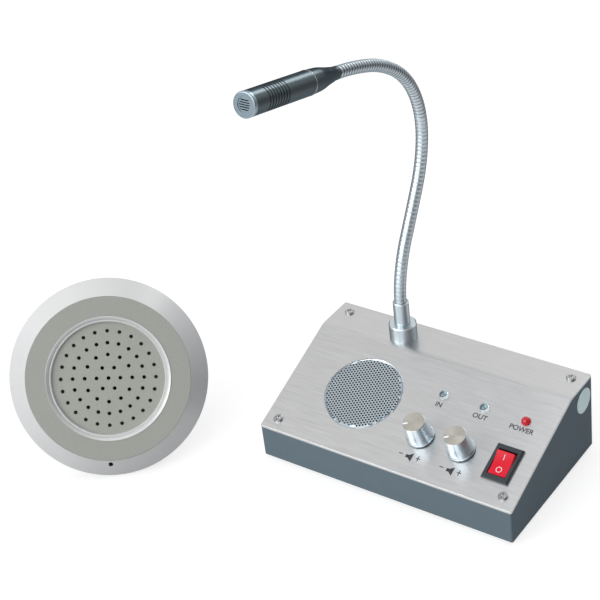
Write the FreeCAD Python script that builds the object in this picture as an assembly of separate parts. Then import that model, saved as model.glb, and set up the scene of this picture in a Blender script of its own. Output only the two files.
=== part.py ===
"""Teller window intercom: a desk console with a gooseneck microphone, and an outside unit.

Sizes are in millimetres. +Z is up, +X runs along the console's front and +Y away from the teller.
The origin is on the counter, at the middle of the box that holds the whole set.
Each node is written to parts/NODE.step.
"""
import FreeCAD, Part
import math
import os

Vector = FreeCAD.Vector
Placement = FreeCAD.Placement
Rotation = FreeCAD.Rotation

# ---- Where the two units stand on the counter ----
console_x = 61.6  # middle of the console's width
console_y = -19.9  # front wall of the console
outside_unit_x = -87.4  # middle of the outside unit's face
outside_unit_y = -55.3
outside_unit_turn = 42.9  # about the vertical, from facing straight forwards
outside_unit_lean = 30.6  # backwards from upright
outside_unit_roll = -8.3  # about the face's own axis

# ---- Console case ----
console_width = 154.0
console_depth = 88.6
front_height = 20.1  # case bottom to the panel's front edge
top_height = 45.8  # case bottom to the level strip at the back
strip_depth = 22.6  # of the level strip at the back
bend_radius = 9.0
corner_radius = 1.0
case_wall = 1.6
panel_thickness = 1.2
panel_edge_round = 0.3
plate_thickness = 1.2
plate_gap = 0.2
flange_width = 9.0
flange_thickness = 1.5
vent_width = 2.5
vent_length = 24.0
vent_pitch = 6.0
vent_count = 7

# ---- Fasteners and feet ----
screw_radius = 1.45
screw_clearance = 0.2
thread_clearance = 0.05
panel_head_radius = 2.6
panel_head_height = 1.1
panel_screw_length = 6.0
panel_screw_inset = 7.9  # from the side walls
front_screw_s = 6.8  # up the slope from the panel's front edge
back_screw_inset = 7.6  # from the back wall
nut_block_length = 10.0
nut_block_width = 8.0
nut_block_height = 5.0
case_head_radius = 2.8
case_head_height = 1.3
case_screw_length = 4.6
case_screw_inset_x = 6.0
case_screw_inset_y = 22.0
recess_width = 0.8
recess_depth = 0.6
foot_radius = 6.0
foot_height = 2.0
foot_chamfer = 0.8
foot_stem_radius = 2.0
foot_barb_radius = 2.6
foot_barb_height = 1.6
foot_inset_x = 14.0
foot_inset_y = 13.0
part_clearance = 0.1  # between loose pieces that stand in each other's holes

# ---- Console speaker ----
speaker_x = -31.2
speaker_offset = 1.79  # up the slope from its middle
speaker_hole_radius = 22.3
mesh_radius = 25.3
mesh_thickness = 0.8
mesh_cap_gap = 0.4  # between the panel's hole and the raised middle
mesh_cap_rise = 1.5  # of the middle over the flange
mesh_cap_round = 1.3
basket_rim = 2.4  # width of the rim that the cone's surround is glued to
basket_rim_thickness = 1.5
basket_depth = 12.5
basket_base_radius = 14.5
basket_wall = 0.9
basket_window_width = 13.0
coil_radius = 6.0
coil_gap = 0.4
cone_thickness = 0.5
cone_depth = 7.5
dust_cap_height = 1.2
surround_width = 1.8
surround_thickness = 0.5
magnet_radius = 14.0
magnet_height = 8.0
magnet_plate = 2.0
clip_width = 8.0
clip_reach = 4.4
clip_thickness = 1.1
clip_grip = 1.2  # over the basket's rim
clip_gap = 0.5  # between the rim and the clip's riser

# ---- Controls on the slope ----
control_pitch = 24.4  # between the columns of knobs, lamps and switch
first_column_x = 12.0
knob_s = 23.8
lamp_s = 50.4
switch_s = 23.3
pot_radius = 8.0
pot_height = 8.0
pot_tab_width = 12.0
pot_tab_reach = 4.0
pot_tab_drop = 2.0  # under the panel
pot_tab_thickness = 1.2
bush_radius = 3.5
bush_length = 5.0
shaft_radius = 3.0
running_clearance = 0.05
press_clearance = 0.02
shaft_depth = 6.0  # below the panel's underside
shaft_end_gap = 0.2
pot_nut_flats = 10.0
pot_nut_height = 2.0
knob_base_radius = 7.5
knob_waist_radius = 7.0
knob_top_radius = 5.9
knob_height = 13.4
knob_flange_height = 0.9
knob_gap = 0.8  # over the panel
knob_chamfer = 0.35
knob_roof = 2.0
knob_bush_gap = 0.5
knob_cavity_radius = 6.15
knob_cavity_height = 2.0
knob_pointer_width = 0.9
knob_pointer_length = 2.6
knob_pointer_depth = 0.4
knob_rest_angle = 209.0  # of the pointer, anticlockwise from +X
bezel_width = 15.0
bezel_length = 21.0
bezel_height = 1.8
bezel_chamfer = 0.6
switch_body_width = 12.8
switch_body_length = 18.8
switch_body_depth = 12.0
switch_well_floor = 8.0  # below the panel's top
rocker_width = 10.2
rocker_half_length = 6.6
rocker_throw = 10.0  # to each side of the middle
rocker_rise = 10.0  # slope of each half of its top
rocker_skirt = 3.4
rocker_side_gap = 0.2
rocker_end_gap = 0.35
pivot_depth = 1.5  # below the panel's top
pivot_radius = 1.0
pivot_length = 0.9
terminal_width = 4.8
terminal_thickness = 0.8
terminal_length = 8.0
terminal_pitch = 7.0
lamp_radius = 2.5
lamp_flange_radius = 2.9
lamp_flange_height = 1.0
lamp_dome_base = 0.2  # over the panel's top
lamp_body_length = 4.0
lamp_leg_radius = 0.3
lamp_leg_length = 10.0
lamp_leg_pitch = 2.54
holder_radius = 4.3
holder_length = 5.0

# ---- Gooseneck ----
neck_x = -29.3
neck_inset = 14.1  # from the back wall
neck_radius = 3.35
neck_bore = 1.8
socket_gap = 0.3  # between a segment's ball and the next one's cup
collar_radius = 7.6
collar_height = 9.5
collar_chamfer = 0.6
collar_stem_radius = 5.0
collar_stem_length = 12.0
collar_floor = 1.0  # height of the step that the ferrule stands on
neck_nut_flats = 13.5
neck_nut_height = 3.0
ferrule_radius = 4.3
ferrule_top = 23.5  # over the level strip
neck_lead_length = 9.5
neck_lead_turn = -11.0  # negative turns lean away from the teller
neck_segment_length = 27.2
neck_turns = [-20.5, 1.5, 22.0, 30.5, 28.5, 17.0, 8.0]

# ---- Microphone, measured along its axis from the last neck joint ----
mic_sleeve_radius = 4.2
mic_sleeve_start = 0.9
mic_sleeve_end = 6.0
mic_cone_end = 18.5
mic_seam = 24.6  # where the tail's full width ends and the barrel starts
mic_seam_gap = 0.6
mic_seam_depth = 0.3
mic_barrel_radius = 6.25
mic_length = 73.3
mic_wall = 1.0
mic_cap_length = 2.0
mic_cap_radius = 6.3
mic_cap_round = 0.7
mic_grille_radius = 3.65
mic_grille_seat = 0.5  # width of the ledge behind the grille
mic_cap_overlap = 4.0
mic_cap_plug_wall = 0.8
mic_cap_fit = 0.05
mic_grille_recess = 0.4
mic_grille_thickness = 0.8
mic_grille_ledge = 0.8
mic_grille_slot = 0.5
mic_grille_pitch = 1.1
mic_capsule_length = 6.0
mic_groove_inset = 24.8  # of the first groove from the barrel's end
mic_groove_pitch = 2.1
mic_groove_count = 8
mic_groove_width = 0.9
mic_groove_depth = 0.25

# ---- Circuit board and sockets ----
board_x = 18.0
board_inset = 17.6  # of the board's middle from the back wall
board_length = 84.0
board_width = 24.0
board_thickness = 1.6
board_height = 7.0  # over the bottom plate
standoff_radius = 2.6
standoff_inset = 4.0
chip_length = 18.0
chip_width = 4.0
chip_height = 11.0
sink_length = 26.0
sink_base = 2.0
sink_fin_depth = 7.0
sink_fin_thickness = 1.2
sink_fin_count = 6
sink_height = 15.0
capacitor_radii = [4.0, 4.0, 5.0, 3.2]
capacitor_heights = [10.0, 10.0, 14.0, 8.0]
capacitor_pitch = 10.5
socket_z = 26.0
power_jack_x = 52.0
power_jack_width = 9.0
power_jack_depth = 11.0
power_jack_nose_radius = 4.0
power_jack_bore = 2.75
power_jack_bore_depth = 9.0
power_jack_pin_radius = 1.05
unit_jack_x = 32.0
unit_jack_body_radius = 4.5
unit_jack_depth = 12.0
unit_jack_nose_radius = 3.0
unit_jack_bore = 1.8
unit_jack_bore_depth = 11.0
jack_nose_length = 0.8  # behind the back wall
label_radius = 7.1
label_thickness = 0.3
label_inset = 9.6  # from the back wall
label_drop = 10.6  # under the level strip

# ---- Outside unit, from its face plane backwards ----
rim_radius = 54.2
rim_front = 11.0
rim_back = 13.0
face_radius = 44.7
face_thickness = 1.5
face_hole_radius = 34.0
bezel_wall = 4.2
ledge_radius = 42.5
ledge_depth = 3.5
boss_radius = 3.0
boss_circle = 41.5
boss_count = 4
trim_inner_radius = 30.6
trim_lip_width = 0.6  # the sloped edge around the grille
trim_lip_height = 0.9
trim_edge = 0.8  # the upright foot of that edge
trim_land_width = 0.7  # the flat step outside it
trim_depth = 3.0
trim_proud = 0.35
trim_foot_radius = 36.0
plate_radius = 33.0
outer_plate_thickness = 1.0
sound_hole_radius = 1.05
sound_hole_pitch = 6.43  # between the rings of holes
sound_hole_counts = [6, 12, 20, 24]
outer_basket_radius = 31.0
outer_basket_depth = 9.0
outer_cone_depth = 5.0
outer_magnet_height = 5.0
cover_radius = 48.0
cover_depth = 21.5
cover_wall = 2.0
cover_chamfer = 1.2
cover_edge = 1.5
outer_mic_hole_radius = 1.3
outer_mic_radius = 2.2
outer_mic_length = 5.0
outer_mic_circle = 47.1
outer_mic_wall = 0.9  # left between the bevel and the capsule's pocket
outer_screw_length = 8.0
outer_head_radius = 2.6
outer_head_height = 1.2
pad_inner_radius = 18.0
pad_outer_radius = 36.0
pad_thickness = 1.5
gland_depth = 16.2
gland_radius = 2.6
gland_flange_radius = 3.1
gland_flange = 1.2
gland_bore = 1.8

bend_y = console_depth - strip_depth
slope = math.atan2(top_height - front_height, bend_y)
slope_length = math.hypot(top_height - front_height, bend_y)
speaker_s = slope_length / 2 + speaker_offset
neck_y = console_depth - neck_inset
back_screw_y = console_depth - back_screw_inset
board_y = console_depth - board_inset
label_y = console_depth - label_inset
label_z = top_height - label_drop
mic_barrel_end = mic_length - mic_cap_length
mic_groove_first = mic_barrel_end - mic_groove_inset
console_frame = Placement(Vector(console_x, console_y, foot_height), Rotation())
slope_frame = Placement(Vector(0, 0, front_height), Rotation(Vector(1, 0, 0), math.degrees(slope)))
strip_frame = Placement(Vector(0, 0, top_height), Rotation())
under_panel = -panel_thickness
column_x = [first_column_x + control_pitch * column for column in range(3)]
inner_x = console_width / 2 - case_wall


# ---- Plain shapes ----

def cylinder(radius, low, high, x=0, y=0):
    return Part.makeCylinder(radius, high - low, Vector(x, y, low))


def ring(outer, inner, low, high, x=0, y=0):
    return cylinder(outer, low, high, x, y).cut(cylinder(inner, low - 1, high + 1, x, y))


def block(x_range, y_range, z_range):
    low = Vector(x_range[0], y_range[0], z_range[0])
    return Part.makeBox(
        x_range[1] - x_range[0], y_range[1] - y_range[0], z_range[1] - z_range[0], low)


def turned(points):
    """A solid of revolution about Z from its half section in (radius, z)."""
    corners = [Vector(radius, 0, z) for radius, z in points]
    face = Part.Face(Part.makePolygon(corners + corners[:1]))
    return face.revolve(Vector(0, 0, 0), Vector(0, 0, 1), 360)


def hexagon(flats, low, high):
    corner = flats / math.sqrt(3)
    angles = [math.radians(60 * side) for side in range(7)]
    points = [Vector(corner * math.cos(a), corner * math.sin(a), low) for a in angles]
    return Part.Face(Part.makePolygon(points)).extrude(Vector(0, 0, high - low))


def moved(shape, x=0, y=0, z=0):
    copy = shape.copy()
    copy.translate(Vector(x, y, z))
    return copy


def spun(shape, degrees):
    copy = shape.copy()
    copy.rotate(Vector(0, 0, 0), Vector(0, 0, 1), degrees)
    return copy


def flipped(shape):
    """The shape turned upside down about X."""
    copy = shape.copy()
    copy.rotate(Vector(0, 0, 0), Vector(1, 0, 0), 180)
    return copy


def framed(shape, frame):
    copy = shape.copy()
    copy.Placement = frame.multiply(copy.Placement)
    return copy


def group(solids):
    return solids[0] if len(solids) == 1 else Part.makeCompound(solids)


def level_edges(shape, z):
    """The edges of a shape that lie flat at height z."""
    return [edge for edge in shape.Edges
            if all(abs(point.Z - z) < 0.001 for point in edge.Vertexes)
            and abs(edge.BoundBox.ZLength) < 0.001]


def screw(head_radius, head_height, length, shaft=screw_radius):
    """A pan-head screw that points down, the underside of its head at z = 0."""
    dome = head_height * 0.4
    head = turned([
        (0, 0), (head_radius, 0), (head_radius, head_height - dome),
        (head_radius - dome, head_height), (0, head_height)])
    arm = head_radius * 0.6
    low, high = head_height - recess_depth, head_height + 1
    across = block((-arm, arm), (-recess_width / 2, recess_width / 2), (low, high))
    along = block((-recess_width / 2, recess_width / 2), (-arm, arm), (low, high))
    return head.fuse(cylinder(shaft, -length, 0)).cut(across.fuse(along)).removeSplitter()


# ---- Console case ----

def top_line_z(y, drop):
    """Height of the sloping top at depth y, lowered by drop square to itself."""
    return front_height + y * math.tan(slope) - drop / math.cos(slope)


def case_block(drop, margin):
    """The space under the console's top, lowered by drop and grown sideways by margin."""
    radius = bend_radius - drop
    tangent = radius * math.tan(slope / 2)
    top = top_height - drop
    corner_y = (top - top_line_z(0, drop)) / math.tan(slope)
    front, back, bottom = -margin, console_depth + margin, -margin
    before = Vector(0, corner_y - tangent * math.cos(slope), top - tangent * math.sin(slope))
    after = Vector(0, corner_y + tangent, top)
    crown = Vector(0, after.y - radius * math.sin(slope / 2), top - radius * (1 - math.cos(slope / 2)))
    low_front = Vector(0, front, bottom)
    low_back = Vector(0, back, bottom)
    high_back = Vector(0, back, top)
    high_front = Vector(0, front, top_line_z(front, drop))
    edges = [
        Part.LineSegment(low_front, low_back), Part.LineSegment(low_back, high_back),
        Part.LineSegment(high_back, after), Part.Arc(after, crown, before),
        Part.LineSegment(before, high_front), Part.LineSegment(high_front, low_front)]
    face = Part.Face(Part.Wire([edge.toShape() for edge in edges]))
    half = console_width / 2 + margin
    return moved(face.extrude(Vector(2 * half, 0, 0)), x=-half)


def rounded_footprint():
    """The case's outline seen from above, with its upright corners rounded, as a tall block."""
    half = console_width / 2
    tall = block((-half, half), (0, console_depth), (-5, top_height + 5))
    uprights = [edge for edge in tall.Edges if edge.Vertexes[0].Z != edge.Vertexes[1].Z]
    return tall.makeFillet(corner_radius, uprights)


def foot_places():
    half = console_width / 2 - foot_inset_x
    return [(x, y) for x in (-half, half) for y in (foot_inset_y, console_depth - foot_inset_y)]


def case_screw_places():
    half = inner_x - case_screw_inset_x
    return [(x, y) for x in (-half, half)
            for y in (case_screw_inset_y, console_depth - case_screw_inset_y)]


def make_case_shell():
    """The four walls, welded at the upright corners; the side walls have the bottom plate's flanges."""
    tall = (-top_height, 2 * top_height)
    inside = block((-inner_x, inner_x), (case_wall, console_depth - case_wall), tall)
    shell = case_block(panel_thickness, 0).common(rounded_footprint()).cut(inside)
    low, high = plate_thickness, plate_thickness + flange_thickness
    depth = (case_wall, console_depth - case_wall)
    for side in (-1, 1):
        edges = sorted((side * (inner_x + 0.5), side * (inner_x - flange_width)))
        shell = shell.fuse(block(edges, depth, (low, high)))
    shell = shell.removeSplitter()
    for x, y in case_screw_places():
        shell = shell.cut(cylinder(screw_radius + thread_clearance, low - 1, high + 1, x, y))
    for x, nose in ((power_jack_x, power_jack_nose_radius), (unit_jack_x, unit_jack_nose_radius)):
        hole = Part.makeCylinder(
            nose + part_clearance, 3 * case_wall,
            Vector(x, console_depth - 2 * case_wall, socket_z), Vector(0, 1, 0))
        shell = shell.cut(hole)
    front = block((-inner_x, inner_x), (-1, case_wall), tall)
    back = block((-inner_x, inner_x), (console_depth - case_wall, console_depth + 1), tall)
    sides = shell.cut(front.fuse(back)).Solids
    return [shell.common(front), shell.common(back)] + sides


def make_bottom_plate():
    half = inner_x - plate_gap
    low_y, high_y = case_wall + plate_gap, console_depth - case_wall - plate_gap
    plate = block((-half, half), (low_y, high_y), (0, plate_thickness))
    holes = [cylinder(screw_radius + screw_clearance, -1, 9, x, y) for x, y in case_screw_places()]
    holes += [cylinder(foot_stem_radius + part_clearance, -1, 9, x, y) for x, y in foot_places()]
    first = speaker_x - vent_pitch * (vent_count - 1) / 2
    for number in range(vent_count):
        x = first + vent_pitch * number
        sides = (x - vent_width / 2, x + vent_width / 2)
        ends = (speaker_s - vent_length / 2, speaker_s + vent_length / 2)
        holes.append(block(sides, ends, (-1, 9)))
    return plate.cut(Part.makeCompound(holes))


def make_case_screws():
    one = flipped(screw(case_head_radius, case_head_height, case_screw_length))
    return [moved(one, x, y) for x, y in case_screw_places()]


def make_rubber_feet():
    barb = plate_thickness + part_clearance
    foot = turned([
        (0, -foot_height), (foot_radius - foot_chamfer, -foot_height),
        (foot_radius, -foot_height + foot_chamfer), (foot_radius, 0), (foot_stem_radius, 0),
        (foot_stem_radius, barb), (foot_barb_radius, barb),
        (foot_stem_radius - foot_chamfer, barb + foot_barb_height), (0, barb + foot_barb_height)])
    return [moved(foot, x, y) for x, y in foot_places()]


def on_slope(shape, x, s, z=0):
    return framed(moved(shape, x, s, z), slope_frame)


def on_strip(shape, x, y, z=0):
    return framed(moved(shape, x, y, z), strip_frame)


def at_panel_screws(shape_for_side):
    """Place one shape at each panel screw; shape_for_side takes -1 on the left and 1 on the right."""
    placed = []
    for side in (-1, 1):
        x = side * (console_width / 2 - panel_screw_inset)
        placed.append(on_slope(shape_for_side(side), x, front_screw_s))
        placed.append(on_strip(shape_for_side(side), x, back_screw_y))
    return placed


def make_top_panel():
    sheet = case_block(0, 0).common(rounded_footprint()).cut(case_block(panel_thickness, 3))
    top_edges = []
    for edge in sheet.Edges:
        middle = edge.valueAt((edge.FirstParameter + edge.LastParameter) / 2)
        top_z = min(top_line_z(middle.y, 0), top_height)
        level = abs(edge.Vertexes[0].Y - edge.Vertexes[-1].Y) < 0.01
        at_end = min(middle.y, console_depth - middle.y) < 0.01
        if top_z - middle.z < 0.01 and level and at_end:
            top_edges.append(edge)
    sheet = sheet.makeFillet(panel_edge_round, top_edges)
    holes = [
        on_slope(cylinder(speaker_hole_radius, -5, 5), speaker_x, speaker_s),
        on_slope(switch_cutout(part_clearance), column_x[2], switch_s),
        on_strip(cylinder(collar_stem_radius + part_clearance, -5, 5), neck_x, neck_y)]
    holes += [on_slope(cylinder(bush_radius + part_clearance, -5, 5), x, knob_s) for x in column_x[:2]]
    holes += [on_slope(cylinder(lamp_radius + part_clearance, -5, 5), x, lamp_s) for x in column_x]
    holes += at_panel_screws(lambda side: cylinder(screw_radius + screw_clearance, -5, 5))
    for hole in holes:
        sheet = sheet.cut(hole)
    return sheet


def make_nut_block(side):
    outer = panel_screw_inset - case_wall
    edges = sorted((side * outer, side * (outer - nut_block_length)))
    width = (-nut_block_width / 2, nut_block_width / 2)
    body = block(edges, width, (under_panel - nut_block_height, under_panel))
    return body.cut(cylinder(screw_radius + thread_clearance, under_panel - 2 * nut_block_height, 0))


# ---- Speakers ----

def make_basket(radius, depth):
    """A speaker basket, its rim's front at z = 0."""
    base_radius, seat_radius = basket_base_radius, radius - basket_rim
    inner_rim = seat_radius - surround_width
    step = surround_thickness + part_clearance
    solid = turned([
        (radius, 0), (radius, -basket_rim_thickness), (seat_radius, -basket_rim_thickness),
        (base_radius, -depth + basket_wall), (base_radius, -depth),
        (coil_radius + coil_gap, -depth), (coil_radius + coil_gap, -depth + basket_wall),
        (base_radius - basket_wall, -depth + basket_wall), (inner_rim, -basket_rim_thickness),
        (inner_rim, -step), (seat_radius, -step), (seat_radius, 0)])
    low, high = -depth + basket_wall + 0.8, -basket_rim_thickness - 0.8
    width = (-basket_window_width / 2, basket_window_width / 2)
    window = block((base_radius * 0.6, radius), width, (low, high))
    for quarter in range(4):
        solid = solid.cut(spun(window, 45 + 90 * quarter))
    return solid


def make_cone(radius, depth, basket_depth_behind):
    """A paper cone with its surround, dust cap and coil former, to sit in make_basket's rim."""
    outer = radius - basket_rim - part_clearance
    inner = radius - basket_rim - surround_width
    top = -part_clearance
    low = top - surround_thickness
    coil_end = -basket_depth_behind + coil_gap
    cap = -depth + dust_cap_height
    return turned([
        (outer, top), (outer, low), (inner - 0.4, low), (coil_radius, -depth),
        (coil_radius, coil_end), (coil_radius - cone_thickness, coil_end),
        (coil_radius - cone_thickness, -depth), (0, cap), (0, cap + cone_thickness),
        (coil_radius, -depth + cone_thickness), (inner - 0.6, top)])


def make_magnet(height, depth):
    """A magnet ring with its back plate and pole piece, behind a basket that is depth deep."""
    back = -depth - height
    inside = back + magnet_plate
    shell = ring(magnet_radius, coil_radius + 2 * coil_gap, inside, -depth)
    plate = cylinder(magnet_radius, back, inside)
    pole = cylinder(coil_radius - cone_thickness - coil_gap, back, -depth)
    return shell.fuse([plate, pole]).removeSplitter()


def make_speaker_mesh():
    """A pressed cap: a flat flange under the panel and a raised middle that fills the hole."""
    cap_radius = speaker_hole_radius - mesh_cap_gap
    low, high = mesh_thickness, mesh_thickness + mesh_cap_rise
    cap = cylinder(cap_radius, 0, high)
    hollow = cylinder(cap_radius - mesh_thickness, -1, high - mesh_thickness)
    cap = cap.makeFillet(mesh_cap_round, level_edges(cap, high))
    hollow = hollow.makeFillet(mesh_cap_round - mesh_thickness, level_edges(hollow, high - mesh_thickness))
    return cylinder(mesh_radius, 0, low).fuse(cap).cut(hollow).removeSplitter()


speaker_face = under_panel - mesh_thickness


def in_speaker(shape, z=speaker_face):
    return on_slope(shape, speaker_x, speaker_s, z)


def make_speaker_clips():
    """Three cranked clips that press the basket's rim and the mesh against the panel."""
    rim_back_z = speaker_face - basket_rim_thickness
    clip_low = rim_back_z - clip_thickness
    width = (-clip_width / 2, clip_width / 2)
    inside = mesh_radius - clip_grip
    riser = mesh_radius + clip_gap
    tongue = block((inside, riser + clip_thickness), width, (clip_low, rim_back_z))
    upright = block((riser, riser + clip_thickness), width, (clip_low, under_panel))
    foot = block((riser, riser + clip_reach), width, (under_panel - clip_thickness, under_panel))
    clip = tongue.fuse([upright, foot]).removeSplitter()
    return [in_speaker(spun(clip, 30 + 120 * number), 0) for number in range(3)]


# ---- Volume controls ----

def make_pot():
    body = cylinder(pot_radius, under_panel - pot_height, under_panel)
    bush = cylinder(bush_radius, under_panel, bush_length)
    bore_floor = under_panel - shaft_depth - shaft_end_gap
    bore = cylinder(shaft_radius + running_clearance, bore_floor, bush_length + 1)
    tab_top = under_panel - pot_tab_drop
    tab_board = block(
        (-pot_tab_width / 2, pot_tab_width / 2), (-pot_radius - pot_tab_reach, -pot_radius + 3),
        (tab_top - pot_tab_thickness, tab_top))
    return body.fuse([bush, tab_board]).cut(bore).removeSplitter()


def make_pot_nut():
    return hexagon(pot_nut_flats, 0, pot_nut_height).cut(cylinder(bush_radius + thread_clearance, -1, 9))


knob_bore_start = bush_length + knob_bush_gap
knob_bore_end = knob_gap + knob_height - knob_roof


def make_pot_shaft():
    return cylinder(shaft_radius, under_panel - shaft_depth, knob_bore_end - shaft_end_gap)


def make_knob():
    low, high = knob_gap, knob_gap + knob_height
    flange = low + knob_flange_height
    body = turned([
        (0, low), (knob_base_radius - 0.3, low), (knob_base_radius, low + 0.3),
        (knob_base_radius, flange), (knob_waist_radius, flange + 0.7),
        (knob_top_radius, high - knob_chamfer), (knob_top_radius - knob_chamfer, high), (0, high)])
    cavity = cylinder(knob_cavity_radius, low - 1, low + knob_cavity_height)
    neck = cylinder(bush_radius + knob_bush_gap, low, knob_bore_start)
    bore = cylinder(shaft_radius + press_clearance, low, knob_bore_end)
    body = body.cut(cavity.fuse([neck, bore]))
    pointer = block(
        (knob_top_radius - knob_pointer_length, knob_top_radius + 1),
        (-knob_pointer_width / 2, knob_pointer_width / 2), (high - knob_pointer_depth, high + 1))
    return body.cut(spun(pointer, knob_rest_angle))


# ---- Rocker switch ----

def switch_cutout(clearance):
    half_x = switch_body_width / 2 + clearance
    half_y = switch_body_length / 2 + clearance
    return block((-half_x, half_x), (-half_y, half_y), (under_panel - switch_body_depth, 0.01))


def rocker_section():
    """The rocker's side outline about its pivot in (y, z), before it tips."""
    middle = bezel_height - 0.1 + pivot_depth
    end = middle + rocker_half_length * math.tan(math.radians(rocker_rise))
    foot = rocker_half_length * 0.7
    return [
        (0, middle), (rocker_half_length, end), (rocker_half_length, 0.4),
        (foot, -rocker_skirt), (-foot, -rocker_skirt),
        (-rocker_half_length, 0.4), (-rocker_half_length, end)]


def rocker_sweep():
    """How far the rocker's ends reach along the switch as it tips."""
    reach = 0
    for y, z in rocker_section():
        for throw in range(-10, 11):
            angle = math.radians(rocker_throw * throw / 10)
            reach = max(reach, abs(y * math.cos(angle) - z * math.sin(angle)))
    return reach


def make_switch_housing():
    half_x, half_y = bezel_width / 2, bezel_length / 2
    bezel = block((-half_x, half_x), (-half_y, half_y), (0, bezel_height))
    bezel = bezel.makeChamfer(bezel_chamfer, level_edges(bezel, bezel_height))
    well_x = rocker_width / 2 + rocker_side_gap
    well_y = rocker_sweep() + rocker_end_gap
    well = block((-well_x, well_x), (-well_y, well_y), (-switch_well_floor, 9))
    pivot_hole = Part.makeCylinder(
        pivot_radius + running_clearance, 2 * (well_x + pivot_length),
        Vector(-well_x - pivot_length, 0, -pivot_depth), Vector(1, 0, 0))
    return bezel.fuse(switch_cutout(0)).removeSplitter().cut(well.fuse(pivot_hole))


def make_rocker():
    corners = [Vector(-rocker_width / 2, y, z) for y, z in rocker_section()]
    body = Part.Face(Part.makePolygon(corners + corners[:1])).extrude(Vector(rocker_width, 0, 0))
    reach = rocker_width / 2 + rocker_side_gap + pivot_length - 0.2
    pin = Part.makeCylinder(pivot_radius, 2 * reach, Vector(-reach, 0, 0), Vector(1, 0, 0))
    rocker = body.fuse(pin).removeSplitter()
    rocker.rotate(Vector(0, 0, 0), Vector(1, 0, 0), rocker_throw)
    return moved(rocker, z=-pivot_depth)


def make_switch_terminals():
    top = under_panel - switch_body_depth
    half = terminal_width / 2
    blades = []
    for y in (-terminal_pitch / 2, terminal_pitch / 2):
        blade = block((-half, half), (y - terminal_thickness / 2, y + terminal_thickness / 2),
                      (top - terminal_length, top))
        eye = Part.makeCylinder(0.9, 9, Vector(0, y - 4, top - terminal_length + 2), Vector(0, 1, 0))
        blades.append(blade.cut(eye))
    return blades


# ---- Lamps ----

def make_lamp():
    flange = cylinder(lamp_flange_radius, under_panel - lamp_flange_height, under_panel)
    body = cylinder(lamp_radius, under_panel - lamp_body_length, lamp_dome_base)
    dome = Part.makeSphere(lamp_radius, Vector(0, 0, lamp_dome_base), Vector(0, 0, 1), 0, 90, 360)
    leg_top = under_panel - lamp_body_length + 1
    legs = [cylinder(lamp_leg_radius, leg_top - lamp_leg_length, leg_top, x)
            for x in (-lamp_leg_pitch / 2, lamp_leg_pitch / 2)]
    return body.fuse([flange, dome] + legs).removeSplitter()


def make_lamp_holder():
    low = under_panel - holder_length
    sleeve = ring(holder_radius, lamp_flange_radius + part_clearance, low, under_panel)
    return sleeve.fuse(ring(holder_radius, lamp_radius + part_clearance, low, low + 1)).removeSplitter()


# ---- Gooseneck ----

def make_neck_socket():
    collar = turned([
        (0, -collar_stem_length), (collar_stem_radius, -collar_stem_length), (collar_stem_radius, 0),
        (collar_radius, 0), (collar_radius, collar_height - collar_chamfer),
        (collar_radius - collar_chamfer, collar_height), (0, collar_height)])
    seat = cylinder(ferrule_radius + thread_clearance, collar_floor, collar_height + 1)
    wire_way = cylinder(neck_bore + 0.4, -collar_stem_length - 1, collar_floor + 1)
    return collar.cut(seat.fuse(wire_way))


def make_neck_nut():
    low = under_panel - neck_nut_height
    return hexagon(neck_nut_flats, low, under_panel).cut(
        cylinder(collar_stem_radius + thread_clearance, low - 1, 1))


def make_neck_ferrule():
    return turned([
        (neck_radius + thread_clearance, collar_floor), (ferrule_radius, collar_floor),
        (ferrule_radius, ferrule_top - 0.5), (ferrule_radius - 0.5, ferrule_top),
        (neck_radius + thread_clearance, ferrule_top)])


def neck_arcs():
    """Start point, heading, turn and length of the lead-in and of each neck segment, in turn."""
    point = Vector(neck_x, neck_y, top_height + ferrule_top)
    heading = 90.0
    arcs = []
    lengths = [neck_lead_length] + [neck_segment_length] * len(neck_turns)
    for turn, length in zip([neck_lead_turn] + neck_turns, lengths):
        arcs.append((point, heading, turn, length))
        point = arc_point(point, heading, turn, length)
        heading += turn
    arcs.append((point, heading, 0.0, 0.0))
    return arcs


def neck_direction(heading):
    angle = math.radians(heading)
    return Vector(0, math.cos(angle), math.sin(angle))


def arc_centre(point, heading, turn, length):
    across = neck_direction(heading + 90)
    return point + across * (length / math.radians(turn))


def arc_point(point, heading, turn, length):
    """The far end of an arc that leaves point at heading and bends by turn."""
    centre = arc_centre(point, heading, turn, length)
    spoke = Rotation(Vector(1, 0, 0), turn).multVec(point - centre)
    return centre + spoke


def neck_tube(arc):
    """A hollow tube along an arc."""
    point, heading, turn = arc[:3]
    circles = [Part.makeCircle(radius, point, neck_direction(heading)) for radius in (neck_radius, neck_bore)]
    face = Part.Face([Part.Wire(circle) for circle in circles])
    face.validate()
    return face.revolve(arc_centre(*arc), Vector(1, 0, 0), turn)


def neck_ball(arc):
    """A segment's rounded end, with the bore through it."""
    point, direction = arc[0], neck_direction(arc[1])
    bore = Part.makeCylinder(neck_bore, 2 * neck_radius + neck_bore, point - direction * neck_bore, direction)
    return Part.makeSphere(neck_radius, point, direction, 0, 90, 360).cut(bore)


def make_neck_segment(arc, next_arc):
    """A hollow tube along an arc, with a cup at its start and a ball at its far end."""
    tube = neck_tube(arc).fuse(neck_ball(next_arc))
    return tube.cut(Part.makeSphere(neck_radius + socket_gap, arc[0], neck_direction(arc[1])))


def make_first_neck_segment(lead, next_arc):
    """The straight end that the ferrule holds, and the short bend above it."""
    rise = ferrule_top - collar_floor
    foot = lead[0] - Vector(0, 0, rise)
    straight = Part.makeCylinder(neck_radius, rise, foot).cut(
        Part.makeCylinder(neck_bore, rise + 2, foot - Vector(0, 0, 1)))
    return straight.fuse([neck_tube(lead), neck_ball(next_arc)])


# ---- Microphone ----

def microphone_frame():
    """Z runs forwards along the microphone, from the last neck joint."""
    point, heading = neck_arcs()[-1][:2]
    return Placement(point, Rotation(Vector(1, 0, 0), heading - 90))


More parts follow.
